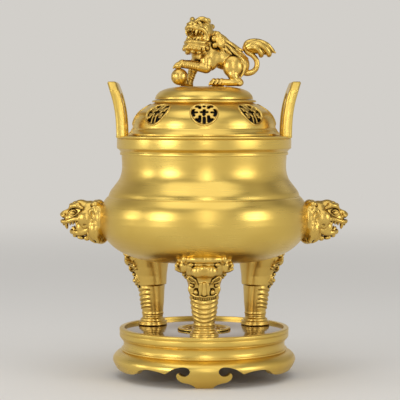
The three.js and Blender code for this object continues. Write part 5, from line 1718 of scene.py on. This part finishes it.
@dataclass
class Finial:
    """The guardian lion on the lid: head turned to the viewer, one forepaw on a ball, a flame-tipped tail."""

    ground: float = 313.5
    head_at: Point = (-4.0, -1.0, 373.5)
    head_turn: float = 52.0
    head_tip: float = 14.0
    ball_at: Point = (-26.4, -9.7, 323.55)
    ball_radius: float = 9.1
    ball_gap: float = 0.3
    ball_steps: int = 36
    ball_scribed: tuple[int, int] = (17, 19)  # the steps that the scribed lines lie on
    ball_scribe: float = 0.16
    hair_lift: float = 0.35
    hair_slant: float = 1.1
    hair_turns: tuple[float, float, int] = (-170.0, 170.0, 9)  # from, to and how many joints
    # Where the toes of the three paws on the ground are: along, across and up.
    paws: tuple[Point, ...] = ((8.2, 12.1, 3.9), (8.2, -12.1, 3.9), (-22.8, 9.6, 3.0))
    spread: tuple[float, ...] = (-3.1, -1.05, 1.05, 3.1)
    side_toes: tuple[float, ...] = (9.8, 14.0, 18.2)  # how far along the hind feet their outer toes lie
    raised_spread: tuple[float, ...] = (-3.3, -1.1, 1.1, 3.3)
    body: tuple[Form, ...] = (
        Lump((-2, 0, 33), (11.5, 11.5, 15), (0, -14, 0), blend=3),
        Lump((7, 9, 29), (9.5, 5.8, 12.5), (0, 8, 0), pair=True, blend=3),
        *lumps(
            ((19, 0, 30.5), (20.5, 12.2, 12), (0, 24, 0)), ((36.5, 0, 23), (12.6, 11.8, 13.2)),
            ((5, 0, 44), (11, 10.5, 10)),
            blend=3,
        ),
        Lump((30.8, 10.6, 20.6), (10.8, 6.2, 11.6), (0, -14, 0), pair=True, blend=1.4),
        Strand(
            ((31, 11.6, 12, 5.6), (33, 12.2, 8.4, 4.4), (36, 12.4, 5, 4)),
            pair=True, blend=1.4,
        ),
        Strand(
            ((37.4, 12.3, 4.4, 4.2), (28, 12.3, 3.8, 3.8), (18, 12.2, 3.9, 3.9), (10.6, 12.1, 3.8, 3.9)),
            pair=True, blend=1.2,
        ),
        Lump((38, 12.4, 3.6), (4.4, 4.4, 3.8), pair=True, blend=0.8),
        Strand(
            ((36.6, 16.4, 5.2, 0.9), (40.2, 16, 4.4, 1.1), (38.8, 16.4, 1.8, 1), (36.2, 16.6, 2.6, 0.8)),
            pair=True, blend=0.3,
        ),
        Strand(
            (
                (19.8, 16, 18.6, 0.5), (21.2, 16.6, 25.8, 0.65), (27, 16.9, 31.4, 0.65),
                (35, 16.4, 31, 0.5),
            ),
            pair=True, cut=True, blend=0.8,
        ),
        Strand(
            ((32, 16.8, 17, 0.4), (35.4, 16.4, 12, 0.6), (38.8, 15.6, 8.4, 0.5)),
            pair=True, cut=True, blend=0.6,
        ),
        Strand(
            (
                (40.4, 11.8, 27, 0.8), (43.4, 11.2, 21.4, 1.6), (41.4, 12.4, 13, 1.2),
                (39, 13, 8.6, 0.5),
            ),
            pair=True, blend=0.6,
        ),
        Strand(
            (
                (1, 14.6, 37.6, 0.5), (9, 15.6, 36.4, 0.6), (14.6, 14.6, 29.8, 0.6),
                (12.6, 14.2, 21.4, 0.4),
            ),
            pair=True, cut=True, blend=0.8,
        ),
    )
    # The second form is the raised forearm and the fourth the standing leg; both are combed.
    forelegs: tuple[Form, ...] = (
        Strand(((2, -9.6, 27, 7.2), (2.6, -11.4, 19.6, 5.4)), blend=1.6),
        Strand(
            (
                (2, -11.8, 19.4, 6), (-6, -11.4, 21.2, 5.7), (-15, -10.6, 22.8, 5.4),
                (-23.4, -9.9, 23.6, 4.9),
            ),
            blend=1,
        ),
        Lump((-26.4, -9.7, 21.8), (6, 5.4, 4.6), (0, -12, 0), blend=0.8),
        Strand(
            ((-8, 8.6, 27, 6.4), (-12.6, 9.4, 16, 5), (-15, 9.6, 7, 4.2), (-15.4, 9.6, 3.2, 4.1)),
            blend=1.6,
        ),
        Strand(((-14.6, 9.6, 3.4, 4), (-20.2, 9.6, 3.3, 3.6), (-24.2, 9.6, 2.9, 3.1)), blend=0.8),
    )
    locks: tuple[Form, ...] = (
        Strand(
            ((12, 0, 55, 4.6), (20.5, 0, 50.2, 4.2), (27, 0, 44.8, 3.2), (33, 0, 41.4, 1.8)),
            blend=0.8,
        ),
        *strands(
            ((21, 1.4, 49, 2.6), (29, 2, 44.6, 2.9), (36, 1.6, 40, 2.6), (41.4, 1, 38.2, 1.2)),
            ((14.6, 4.4, 51, 2.6), (21, 5.8, 45.6, 2.8), (26.6, 5.4, 40.6, 2.2), (30.4, 4.6, 38.8, 0.9)),
            ((22.4, 6.4, 44.8, 1.8), (29, 7.4, 39.6, 2.5), (35.6, 6.6, 34.6, 2.2), (41, 5.2, 33, 0.9)),
            ((28.4, 8.8, 38.6, 1.2), (34.2, 9.4, 34.6, 2), (40.4, 8.4, 29, 1.8), (44.6, 7, 25.6, 0.8)),
            ((34.4, 3.6, 38.4, 1.4), (39.4, 3.8, 35.4, 2.1), (44, 3.2, 31.4, 1.6), (47.4, 2.4, 29.8, 0.6)),
            ((14.4, 8.6, 46.8, 1.8), (18.4, 10.2, 41.4, 2.2), (21, 9.8, 36.6, 1.2)),
            ((20.2, 8.2, 44, 1.2), (24.6, 10.2, 38, 2), (29.2, 9.8, 33.8, 0.9)),
            pair=True, blend=0.4,
        ),
    )
    head: tuple[Form, ...] = (
        *lumps(((-2, 0, 2.6), (12.4, 12.2, 9)), ((7, 0, 1.4), (10, 9.8, 4.4)), blend=2),
        Lump((-1, 10.4, -7), (6.8, 4.4, 10.4), pair=True, blend=2),
        Lump((-5, 0, -10), (9.5, 11.4, 13.5), blend=3),
        *lumps(
            ((4.8, 0, -19.8), (11.6, 11.6, 5.2), (0, 4, 0)), ((6.2, 0, -23.4), (10.6, 11, 4.4)),
            blend=2,
        ),
        Lump((12.4, 0, -9.6), (13.4, 9.4, 7), (0, 2, 0), cut=True, blend=1.2),
        Lump((4.6, 0, -9), (6.4, 8.2, 6), cut=True, blend=1),
    )
    face: tuple[Form, ...] = (
        Strand(
            ((1.4, 10, 7.4, 1.8), (5.8, 8.4, 9.8, 2.9), (9.6, 5.2, 9.4, 2.7), (11.6, 2.2, 6.4, 1.7)),
            pair=True, blend=0.5,
        ),
        Strand(((-5.4, 6.6, 10.4, 1.5), (-1.4, 7.4, 11.4, 2.4), (1.8, 4.4, 11.2, 1.9)), pair=True, blend=0.4),
        Lump((0.2, 0, 11.4), (3.6, 2.3, 2.2), blend=0.5),
        *lumps(
            ((-6, 2.8, 11), (3.2, 2.8, 1.9)), ((-10.4, 6.4, 6.8), (3.6, 3.2, 3)),
            pair=True, blend=0.4,
        ),
        Lump((11.6, 6.4, 4.4), (2.8, 2.7, 2.5), pair=True, cut=True, blend=0.5),
        Lump((10.4, 5.8, 4.4), (2.9, 2.6, 2.4), pair=True, blend=0.3),
        Strand(
            ((9, 8.9, 4, 0.6), (10.8, 8.2, 1.9, 0.8), (13.2, 5.2, 1.8, 0.8), (13.8, 3.2, 3.4, 0.6)),
            pair=True, blend=0.3,
        ),
        Strand(((10.4, 0, 7.4, 1.8), (13.4, 0, 5.2, 2.4), (15.8, 0, 3.2, 3)), blend=0.8),
        Lump((16, 0, 2.6), (3.4, 4.9, 2.8), blend=0.6),
        Lump((16, 4.2, 1.8), (2.6, 2.3, 2.3), pair=True, blend=0.4),
        Lump((18.6, 3.3, 1.6), (1.2, 1, 1), pair=True, cut=True, blend=0.3),
        Strand(
            (
                (0.6, 12.8, -10, 1.6), (4.6, 12, -5.2, 2.1), (9.6, 10.2, -2.2, 2.4),
                (15, 6.4, -1.8, 2.5), (17.8, 2.4, -1.5, 2.3), (18.2, 0, -1, 2.1),
            ),
            pair=True, blend=0.6,
        ),
        *strands(
            ((14.2, 6.6, -3.2, 1.8), (14.4, 6.7, -6.6, 1.3), (13.8, 6.2, -9.6, 0.5)),
            ((17.2, 1.4, -2.6, 1.2), (17, 1.4, -5, 0.9)),
            ((16.2, 4, -3, 1.2), (16, 4, -5.3, 0.9)),
            ((11.4, 8.8, -3.2, 1.2), (11.3, 8.6, -5.8, 0.9)),
            ((8.4, 10.2, -4, 1.2), (8.4, 10, -6.8, 0.9)),
            ((5.6, 11, -5.4, 1.1), (5.8, 10.8, -8, 0.8)),
            pair=True, blend=0.2,
        ),
        Strand(
            (
                (1, 12.2, -12.4, 1.8), (5.6, 11.4, -15.6, 2.2), (11.6, 7.8, -16.8, 2.2),
                (15.2, 3, -17.2, 2.1), (15.8, 0, -17.2, 2.1),
            ),
            pair=True, blend=0.5,
        ),
        Strand(
            (
                (-0.6, 12.8, -16.2, 1.6), (5.6, 12, -19.8, 2), (12, 8, -21, 2),
                (15.4, 0, -21.2, 2),
            ),
            pair=True, blend=0.4,
        ),
        *strands(
            ((12, 6.7, -15.6, 1.6), (12.2, 6.8, -11.2, 0.5)),
            ((14.8, 1.3, -15.6, 1.1), (14.9, 1.3, -13.4, 0.8)),
            ((13.9, 4, -15.6, 1.1), (14, 4, -13.4, 0.8)),
            ((9.2, 9, -14.8, 1.1), (9.2, 9, -12.6, 0.8)),
            pair=True, blend=0.2,
        ),
        Lump((8.6, 0, -14.4), (7.6, 5.2, 2.2), (0, 6, 0), blend=0.6),
        Strand(((3, 0, -12.6, 0.5), (9, 0, -12.2, 0.5), (15, 0, -12.8, 0.4)), cut=True, blend=0.4),
    )
    beard: tuple[Form, ...] = lumps(
        ((15.6, 2.4, -23.8), (2.4, 2.3, 2.3)), ((13.4, 6.6, -23.8), (2.4, 2.3, 2.4)),
        ((9.8, 10, -23.6), (2.5, 2.4, 2.4)), ((5, 12, -22.8), (2.5, 2.4, 2.5)),
        ((0.2, 13, -20.2), (2.6, 2.4, 2.6)), ((-3.8, 12.8, -15.8), (2.8, 2.6, 3)),
        ((11, 3.6, -26.8), (2.6, 2.5, 2.3)), ((6.4, 7.8, -26.6), (2.7, 2.6, 2.3)),
        ((0.8, 10.2, -24.6), (2.8, 2.7, 2.5)), ((-4.4, 10.4, -21.6), (3, 2.8, 3)),
        ((-5.6, 11.8, -9.2), (3.2, 2.6, 3.4)), ((-7, 10.8, -2.4), (3.4, 2.8, 3.4)),
        ((-11.4, 3.4, 4), (3.2, 3.2, 3.2)), ((-13.4, 3.4, -2.4), (3, 3.2, 3.4)),
        pair=True, blend=0.3,
    )
    ears: tuple[Form, ...] = (
        *lumps(
            ((14.4, 11.8, 55.4), (3.5, 3, 3.2)), ((17.2, 13.2, 48), (4.8, 2.6, 8), (0, -10, 0)),
            pair=True, blend=0.4,
        ),
        Lump((17.2, 16.6, 47.6), (2.8, 1.4, 5.6), (0, -10, 0), pair=True, cut=True, blend=1.2),
        *lumps(
            ((10.8, 11.6, 50.4), (3, 2.8, 3.4)), ((11.6, 12, 43.6), (3, 2.8, 3)),
            pair=True, blend=0.4,
        ),
    )
    tail_stem: tuple[Joint, ...] = (
        (41.2, 0, 15.6, 3.5), (46.7, 0, 14.2, 3.4), (52.4, 0, 15.6, 3.1), (56.4, 0, 20.2, 2.9),
        (56.6, 0, 27, 2.8), (52.6, 0, 32.8, 2.8), (46.8, 0, 36.6, 3), (44.6, 0, 41.4, 3.6),
    )
    # The plume's flames sweep from its root, each as a belly, a turn and a tip.
    flames: tuple[Form, ...] = (
        *strands(
            (
                (45, 0, 41, 3.6), (47.6, 0, 45.4, 4.6), (55.4, 0, 46.8, 4.6), (64, 0, 44.6, 4.4),
                (71.6, 0, 39.6, 3.2), (76.6, 0, 36, 0.9),
            ),
            ((50, 0, 41, 5.4), (57, 0, 40.6, 6), (64, 0, 39.2, 5.4), (70, 0, 36.2, 3.4)),
            blend=0.35,
        ),
        *strands(
            (
                (46.6, 2.4, 42.4, 3.2), (52, 4, 45.2, 3.5), (59.4, 4.6, 44.6, 3.5),
                (66.4, 4, 40, 3.4), (69.6, 2.8, 35, 3), (69.8, 1.4, 33.6, 2.6),
            ),
            (
                (47.4, 4.4, 40.6, 2.4), (52.4, 5.8, 41.6, 2.7), (57.6, 5.6, 39.6, 2.9),
                (61, 4, 35, 3), (61.4, 1.8, 33.2, 2.7),
            ),
            ((52, 2.6, 48.4, 1), (60, 3.6, 48, 1.9), (68, 3.2, 44.6, 2.2), (74, 1.6, 38, 1.4)),
            pair=True, blend=0.35,
        ),
    )

    def combed(self, joints: tuple[Joint, ...], count: int, depth: float) -> tuple[Form, ...]:
        """Cuts hair lines across a limb.

        Args:
            joints: the limb's line, as a strand's.
            count: how many lines.
            depth: how deep they go.

        Returns:
            The cuts.
        """
        told = np.array(joints)
        cuts: list[Form] = []
        for share in (np.arange(count) + 0.5) / count * (len(told) - 1):
            base = min(int(share), len(told) - 2)
            spot = told[base] + (told[base + 1] - told[base]) * (share - base)
            along = told[base + 1, :3] - told[base, :3]
            along /= np.linalg.norm(along)
            side = np.array([0.0, 1.0, 0.0])
            up = np.cross(along, side)
            up /= np.linalg.norm(up)
            ring = []
            for turn in np.linspace(*self.hair_turns):
                angle = math.radians(turn)
                reach = spot[3] + self.hair_lift
                around = spot[:3] + reach * (math.cos(angle) * up - math.sin(angle) * side)
                ring.append((*(around + along * self.hair_slant * math.cos(angle)).tolist(), depth))
            cuts.append(Strand(tuple(ring), cut=True, blend=0.5))
        return tuple(cuts)

    def toes(self) -> tuple[Form, ...]:
        """Gives the toes of the four paws, with a claw on each."""
        rows = []
        for x, y, z in self.paws:
            for off in self.spread:
                knuckle, toe = (x + 3.6, y + off * 0.8, z + 2.2, 1.1), (x - 0.4, y + off, z + 0.6, 1.6)
                rows.append((knuckle, toe, (x - 2.4, y + off * 1.05, z - 2.2, 1.2)))
        for x in self.side_toes:
            for side in (1, -1):
                knuckle, toe = (x + 1.8, side * 11.8, 7.2, 1.1), (x, side * 14.6, 6.4, 1.8)
                rows.append((knuckle, toe, (x - 1.8, side * 16.2, 2.6, 1.7)))
        for off in self.raised_spread:
            knuckle, toe = (-26.0, -9.6 + off * 0.8, 24.6, 1.2), (-30.4, -9.6 + off, 22.4, 1.5)
            rows.append((knuckle, toe, (-32.8, -9.6 + off * 1.1, 19.4, 1.0)))
        return strands(*rows, blend=0.3)

    def lion(self) -> bpy.types.Object:
        """Casts the lion, without its tail and its ball."""
        pattern = CastingPattern(low=(-36.5, -22.5, self.ground - 1.5), high=(51.5, 19.5, 389.5), step=0.54)
        stance = Place(origin=(0, 0, self.ground))
        turn, tip = math.radians(self.head_turn), math.radians(self.head_tip)
        look = Place(
            self.head_at,
            (-math.cos(turn) * math.cos(tip), -math.sin(turn) * math.cos(tip), math.sin(tip)),
            (math.sin(turn), -math.cos(turn), 0),
            (math.cos(turn) * math.sin(tip), math.sin(turn) * math.sin(tip), math.cos(tip)),
        )
        for forms in (self.body, self.forelegs, self.locks):
            pattern.add(forms, stance)
        for forms in (self.head, self.face, self.beard):
            pattern.add(forms, look)
        pattern.add(self.ears, stance)
        raised, standing = self.forelegs[1], self.forelegs[3]
        pattern.add(self.combed(raised.joints[1:], count=8, depth=1.05), stance)
        pattern.add(self.combed(standing.joints[1:], count=7, depth=0.9), stance)
        pattern.add(self.toes(), stance)
        pattern.add((Lump(self.ball_at, (self.ball_radius + self.ball_gap,) * 3, cut=True, blend=0.2),))
        pattern.saw_flat(self.ground)
        return pattern.skin().object("lion_cast")

    def tail(self) -> bpy.types.Object:
        """Casts the tail with its plume of flames."""
        low, high = (36.5, -10.0, self.ground + 9.5), (79.0, 10.0, self.ground + 54.5)
        pattern = CastingPattern(low, high, step=0.42)
        stance = Place(origin=(0, 0, self.ground))
        pattern.add((Strand(self.tail_stem, blend=0.8), *self.flames), stance)
        return pattern.skin().object("lion_tail_cast")

    def ball(self) -> bpy.types.Object:
        """Turns the ball, with a faint band scribed round it."""
        x, y, z = self.ball_at
        reach = self.ball_radius
        outline = [(0.0, -reach)]
        for i in range(1, self.ball_steps):
            angle = math.pi * (i / self.ball_steps - 0.5)
            radius = reach - (self.ball_scribe if i in self.ball_scribed else 0.0)
            outline.append((radius * math.cos(angle), radius * math.sin(angle)))
        outline.append((0.0, reach))
        piece = turned("lion_ball_turned", outline, steps=64)
        piece.data.transform(Matrix.Translation((x * MM, y * MM, z * MM)))
        return smooth(piece, sharp=60)

    def build(self) -> None:
        """Makes and seats the finial's pieces."""
        seat(self.lion(), Body.LID, CAST, "lion_finial")
        seat(self.tail(), Body.LID, CAST, "lion_tail")
        seat(self.ball(), Body.LID, CAST, "lion_ball")


@dataclass
class Fasteners:
    """The bolts, washers, screws and pins, kept as the CAD made them and given their plated finish."""

    starts: tuple[str, ...] = (
        "plate_screw", "leg_bolt", "leg_washer", "handle_pin", "head_bolt", "head_washer", "finial_",
    )

    def build(self) -> None:
        """Dresses each carried-over CAD node."""
        for name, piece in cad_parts.items():
            if not name.startswith(self.starts):
                continue
            if not piece.material_slots:
                log.warning("%s has no material slot", name)
            for holder in piece.material_slots:
                holder.material = STEEL.material()
            log.info("%s: plated steel", name)


@dataclass
class Studio:
    """A plain pale floor, soft lamps and the photograph's camera; none of it is part of the burner."""

    floor_half: float = 14.0
    # The paper sweep fades into the backdrop between these two distances, in metres.
    sweep: Flat = (0.7, 2.6)
    paper: str = "DDDAD5"
    backdrop: str = "D2CFCA"
    upper: str = "6E6A64"
    room_light: float = 0.62
    # The soft light and dark of the room's upper part: how fine, between which strengths, and from where up.
    cloud: float = 1.7
    cloud_edge: Flat = (0.36, 0.62)
    cloud_rise: Flat = (0.07, 0.2)
    fibre: float = 90.0  # how fine the paper's unevenness is, in waves to a metre
    fibre_depth: float = 0.0004
    paper_rough: float = 0.85
    aim: Point = (0.0, 0.0, 0.2)  # what every lamp faces, in metres
    # Each lamp's name, direction from the front, height, distance, size and power.
    lamps: tuple[tuple[str, float, float, float, Flat, float], ...] = (
        ("lamp_far_left", -84.0, 0.66, 2.3, (0.5, 0.75), 5.0),
        ("window_left", -47.0, 0.74, 2.4, (0.85, 1.0), 12.5),
        ("strip_front", 3.0, 1.05, 2.5, (0.34, 2.0), 9.0),
        ("window_right", 58.0, 0.74, 2.3, (1.0, 0.95), 11.0), ("ceiling", -10.0, 2.3, 0.6, (2.6, 2.0), 19.0),
    )
    eye: Point = (-4.4, -1761.0, 288.0)
    pitch: float = 3.16
    lens: float = 146.8
    sensor: float = 36.0

    def camera(self) -> None:
        """Stands the camera where the photograph was taken."""
        made = bpy.data.cameras.new("photograph_camera")
        made.lens = self.lens
        made.sensor_width = self.sensor
        made.sensor_fit = "HORIZONTAL"
        made.clip_end = 40.0
        holder = bpy.data.objects.new("photograph_camera", made)
        holder.location = [c * MM for c in self.eye]
        holder.rotation_euler = (math.radians(90 - self.pitch), 0, 0)
        bpy.context.scene.collection.objects.link(holder)
        bpy.context.scene.camera = holder

    def backdrop_shader(self, tree: bpy.types.NodeTree, height: bpy.types.NodeSocket) -> bpy.types.NodeSocket:
        """Gives the backdrop's own light: pale at the foot and a little darker above.

        Args:
            tree: the node tree it goes in.
            height: the socket that tells how high a view looks, 0 level and 1 straight up.

        Returns:
            The shader's socket.
        """
        way = add_node(tree, "ShaderNodeNewGeometry").outputs["Normal"]
        soft = {"Vector": way, "Scale": self.cloud, "Detail": 1.0, "Roughness": 0.4}
        cloud = add_node(tree, "ShaderNodeTexNoise", inputs=soft).outputs["Fac"]
        parts = []
        for value, (low, high) in ((cloud, self.cloud_edge), (height, self.cloud_rise)):
            edge = {"Value": value, "From Min": low, "From Max": high}
            parts.append(add_node(tree, "ShaderNodeMapRange", inputs=edge).outputs[0])
        share = add_node(tree, "ShaderNodeMath", {"operation": "MULTIPLY"}, dict(enumerate(parts))).outputs[0]
        tones = {0: share, 6: linear(self.backdrop), 7: linear(self.upper)}
        shade = add_node(tree, "ShaderNodeMix", {"data_type": "RGBA"}, tones).outputs[2]
        return add_node(tree, "ShaderNodeBackground", inputs={"Color": shade, "Strength": 1.0}).outputs[0]

    def seen_rays(self, tree: bpy.types.NodeTree) -> bpy.types.NodeSocket:
        """Gives 1 for what the camera, the metal and glass see, and 0 for the light on the burner.

        Args:
            tree: the node tree it goes in.

        Returns:
            The socket.
        """
        rays = add_node(tree, "ShaderNodeLightPath").outputs
        seen = rays["Is Camera Ray"]
        for kind in ("Is Glossy Ray", "Is Transmission Ray"):
            either = {0: seen, 1: rays[kind]}
            seen = add_node(tree, "ShaderNodeMath", {"operation": "MAXIMUM"}, either).outputs[0]
        return seen

    def floor(self) -> None:
        """Lays the paper sweep, which keeps the burner's shadow and fades into the backdrop far off."""
        half = self.floor_half / MM
        corners = [(-half, -half, 0), (half, -half, 0), (half, half, 0), (-half, half, 0)]
        piece = make_object("studio_floor", corners, [(0, 1, 2, 3)])
        made = bpy.data.materials.new("Matt_Paper_Sweep")
        made.use_nodes = True
        tree = made.node_tree
        tree.nodes.clear()
        place = add_node(tree, "ShaderNodeTexCoord").outputs["Object"]
        fine = {"Vector": place, "Scale": self.fibre}
        fibre = add_node(tree, "ShaderNodeTexNoise", inputs=fine).outputs["Fac"]
        relief = {"Strength": 0.1, "Distance": self.fibre_depth, "Height": fibre}
        bump = add_node(tree, "ShaderNodeBump", inputs=relief).outputs[0]
        skin = {"Base Color": linear(self.paper), "Roughness": self.paper_rough, "Normal": bump}
        paper = add_node(tree, "ShaderNodeBsdfPrincipled", inputs=skin)
        far = add_node(tree, "ShaderNodeVectorMath", {"operation": "LENGTH"}, {0: place}).outputs["Value"]
        fade = {"Value": far, "From Min": self.sweep[0], "From Max": self.sweep[1]}
        share = add_node(tree, "ShaderNodeMapRange", {"interpolation_type": "SMOOTHSTEP"}, fade).outputs[0]
        light = {"Color": linear(self.backdrop), "Strength": self.seen_rays(tree)}
        glow = add_node(tree, "ShaderNodeEmission", inputs=light).outputs[0]
        ways = {0: share, 1: paper.outputs["BSDF"], 2: glow}
        both = add_node(tree, "ShaderNodeMixShader", inputs=ways).outputs[0]
        add_node(tree, "ShaderNodeOutputMaterial", inputs={"Surface": both})
        piece.data.materials.append(made)

    def lamp(self, name: str, place: Point, size: Flat, power: float) -> None:
        """Hangs one soft lamp.

        Args:
            name: the lamp's name.
            place: where it hangs, in metres.
            size: its width and height in metres.
            power: its power in watts.
        """
        made = bpy.data.lights.new(name, "AREA")
        made.shape = "RECTANGLE"
        made.size, made.size_y = size
        made.energy = power
        holder = bpy.data.objects.new(name, made)
        holder.location = place
        away = np.array(place) - np.array(self.aim)
        heading = math.atan2(away[1], away[0]) + math.pi / 2
        tilt = math.acos(away[2] / np.linalg.norm(away))
        holder.rotation_euler = (tilt, 0, heading)
        holder.visible_camera = False
        bpy.context.scene.collection.objects.link(holder)

    def world(self) -> None:
        """Fills the room with even soft light, and shows the backdrop to the camera and to the metal."""
        made = bpy.data.worlds.new("studio_room")
        bpy.context.scene.world = made
        made.use_nodes = True
        tree = made.node_tree
        tree.nodes.clear()
        place = add_node(tree, "ShaderNodeTexCoord").outputs["Generated"]
        height = add_node(tree, "ShaderNodeSeparateXYZ", inputs={0: place}).outputs["Z"]
        lit = add_node(tree, "ShaderNodeBackground", inputs={"Strength": self.room_light}).outputs[0]
        ways = {0: self.seen_rays(tree), 1: lit, 2: self.backdrop_shader(tree, height)}
        both = add_node(tree, "ShaderNodeMixShader", inputs=ways).outputs[0]
        add_node(tree, "ShaderNodeOutputWorld", inputs={"Surface": both})

    def build(self) -> None:
        """Sets up the whole studio."""
        bpy.context.scene.view_settings.view_transform = "Standard"
        self.camera()
        self.floor()
        self.world()
        for name, azimuth, height, away, size, power in self.lamps:
            turn = math.radians(azimuth)
            place = (away * math.sin(turn), -away * math.cos(turn), height)
            self.lamp(name, place, size, power)


def main() -> None:
    """Builds the burner from the stand up, then the studio round it."""
    logging.basicConfig(level=logging.INFO, format="%(name)s: %(message)s")
    Studio().build()
    bowl = Bowl()
    for part in (Stand(), bowl, Legs(bowl), LionHeads(bowl), Lid(), Finial(), Fasteners()):
        log.info("building %s", type(part).__name__)
        part.build()


if __name__ == "__main__":
    main()
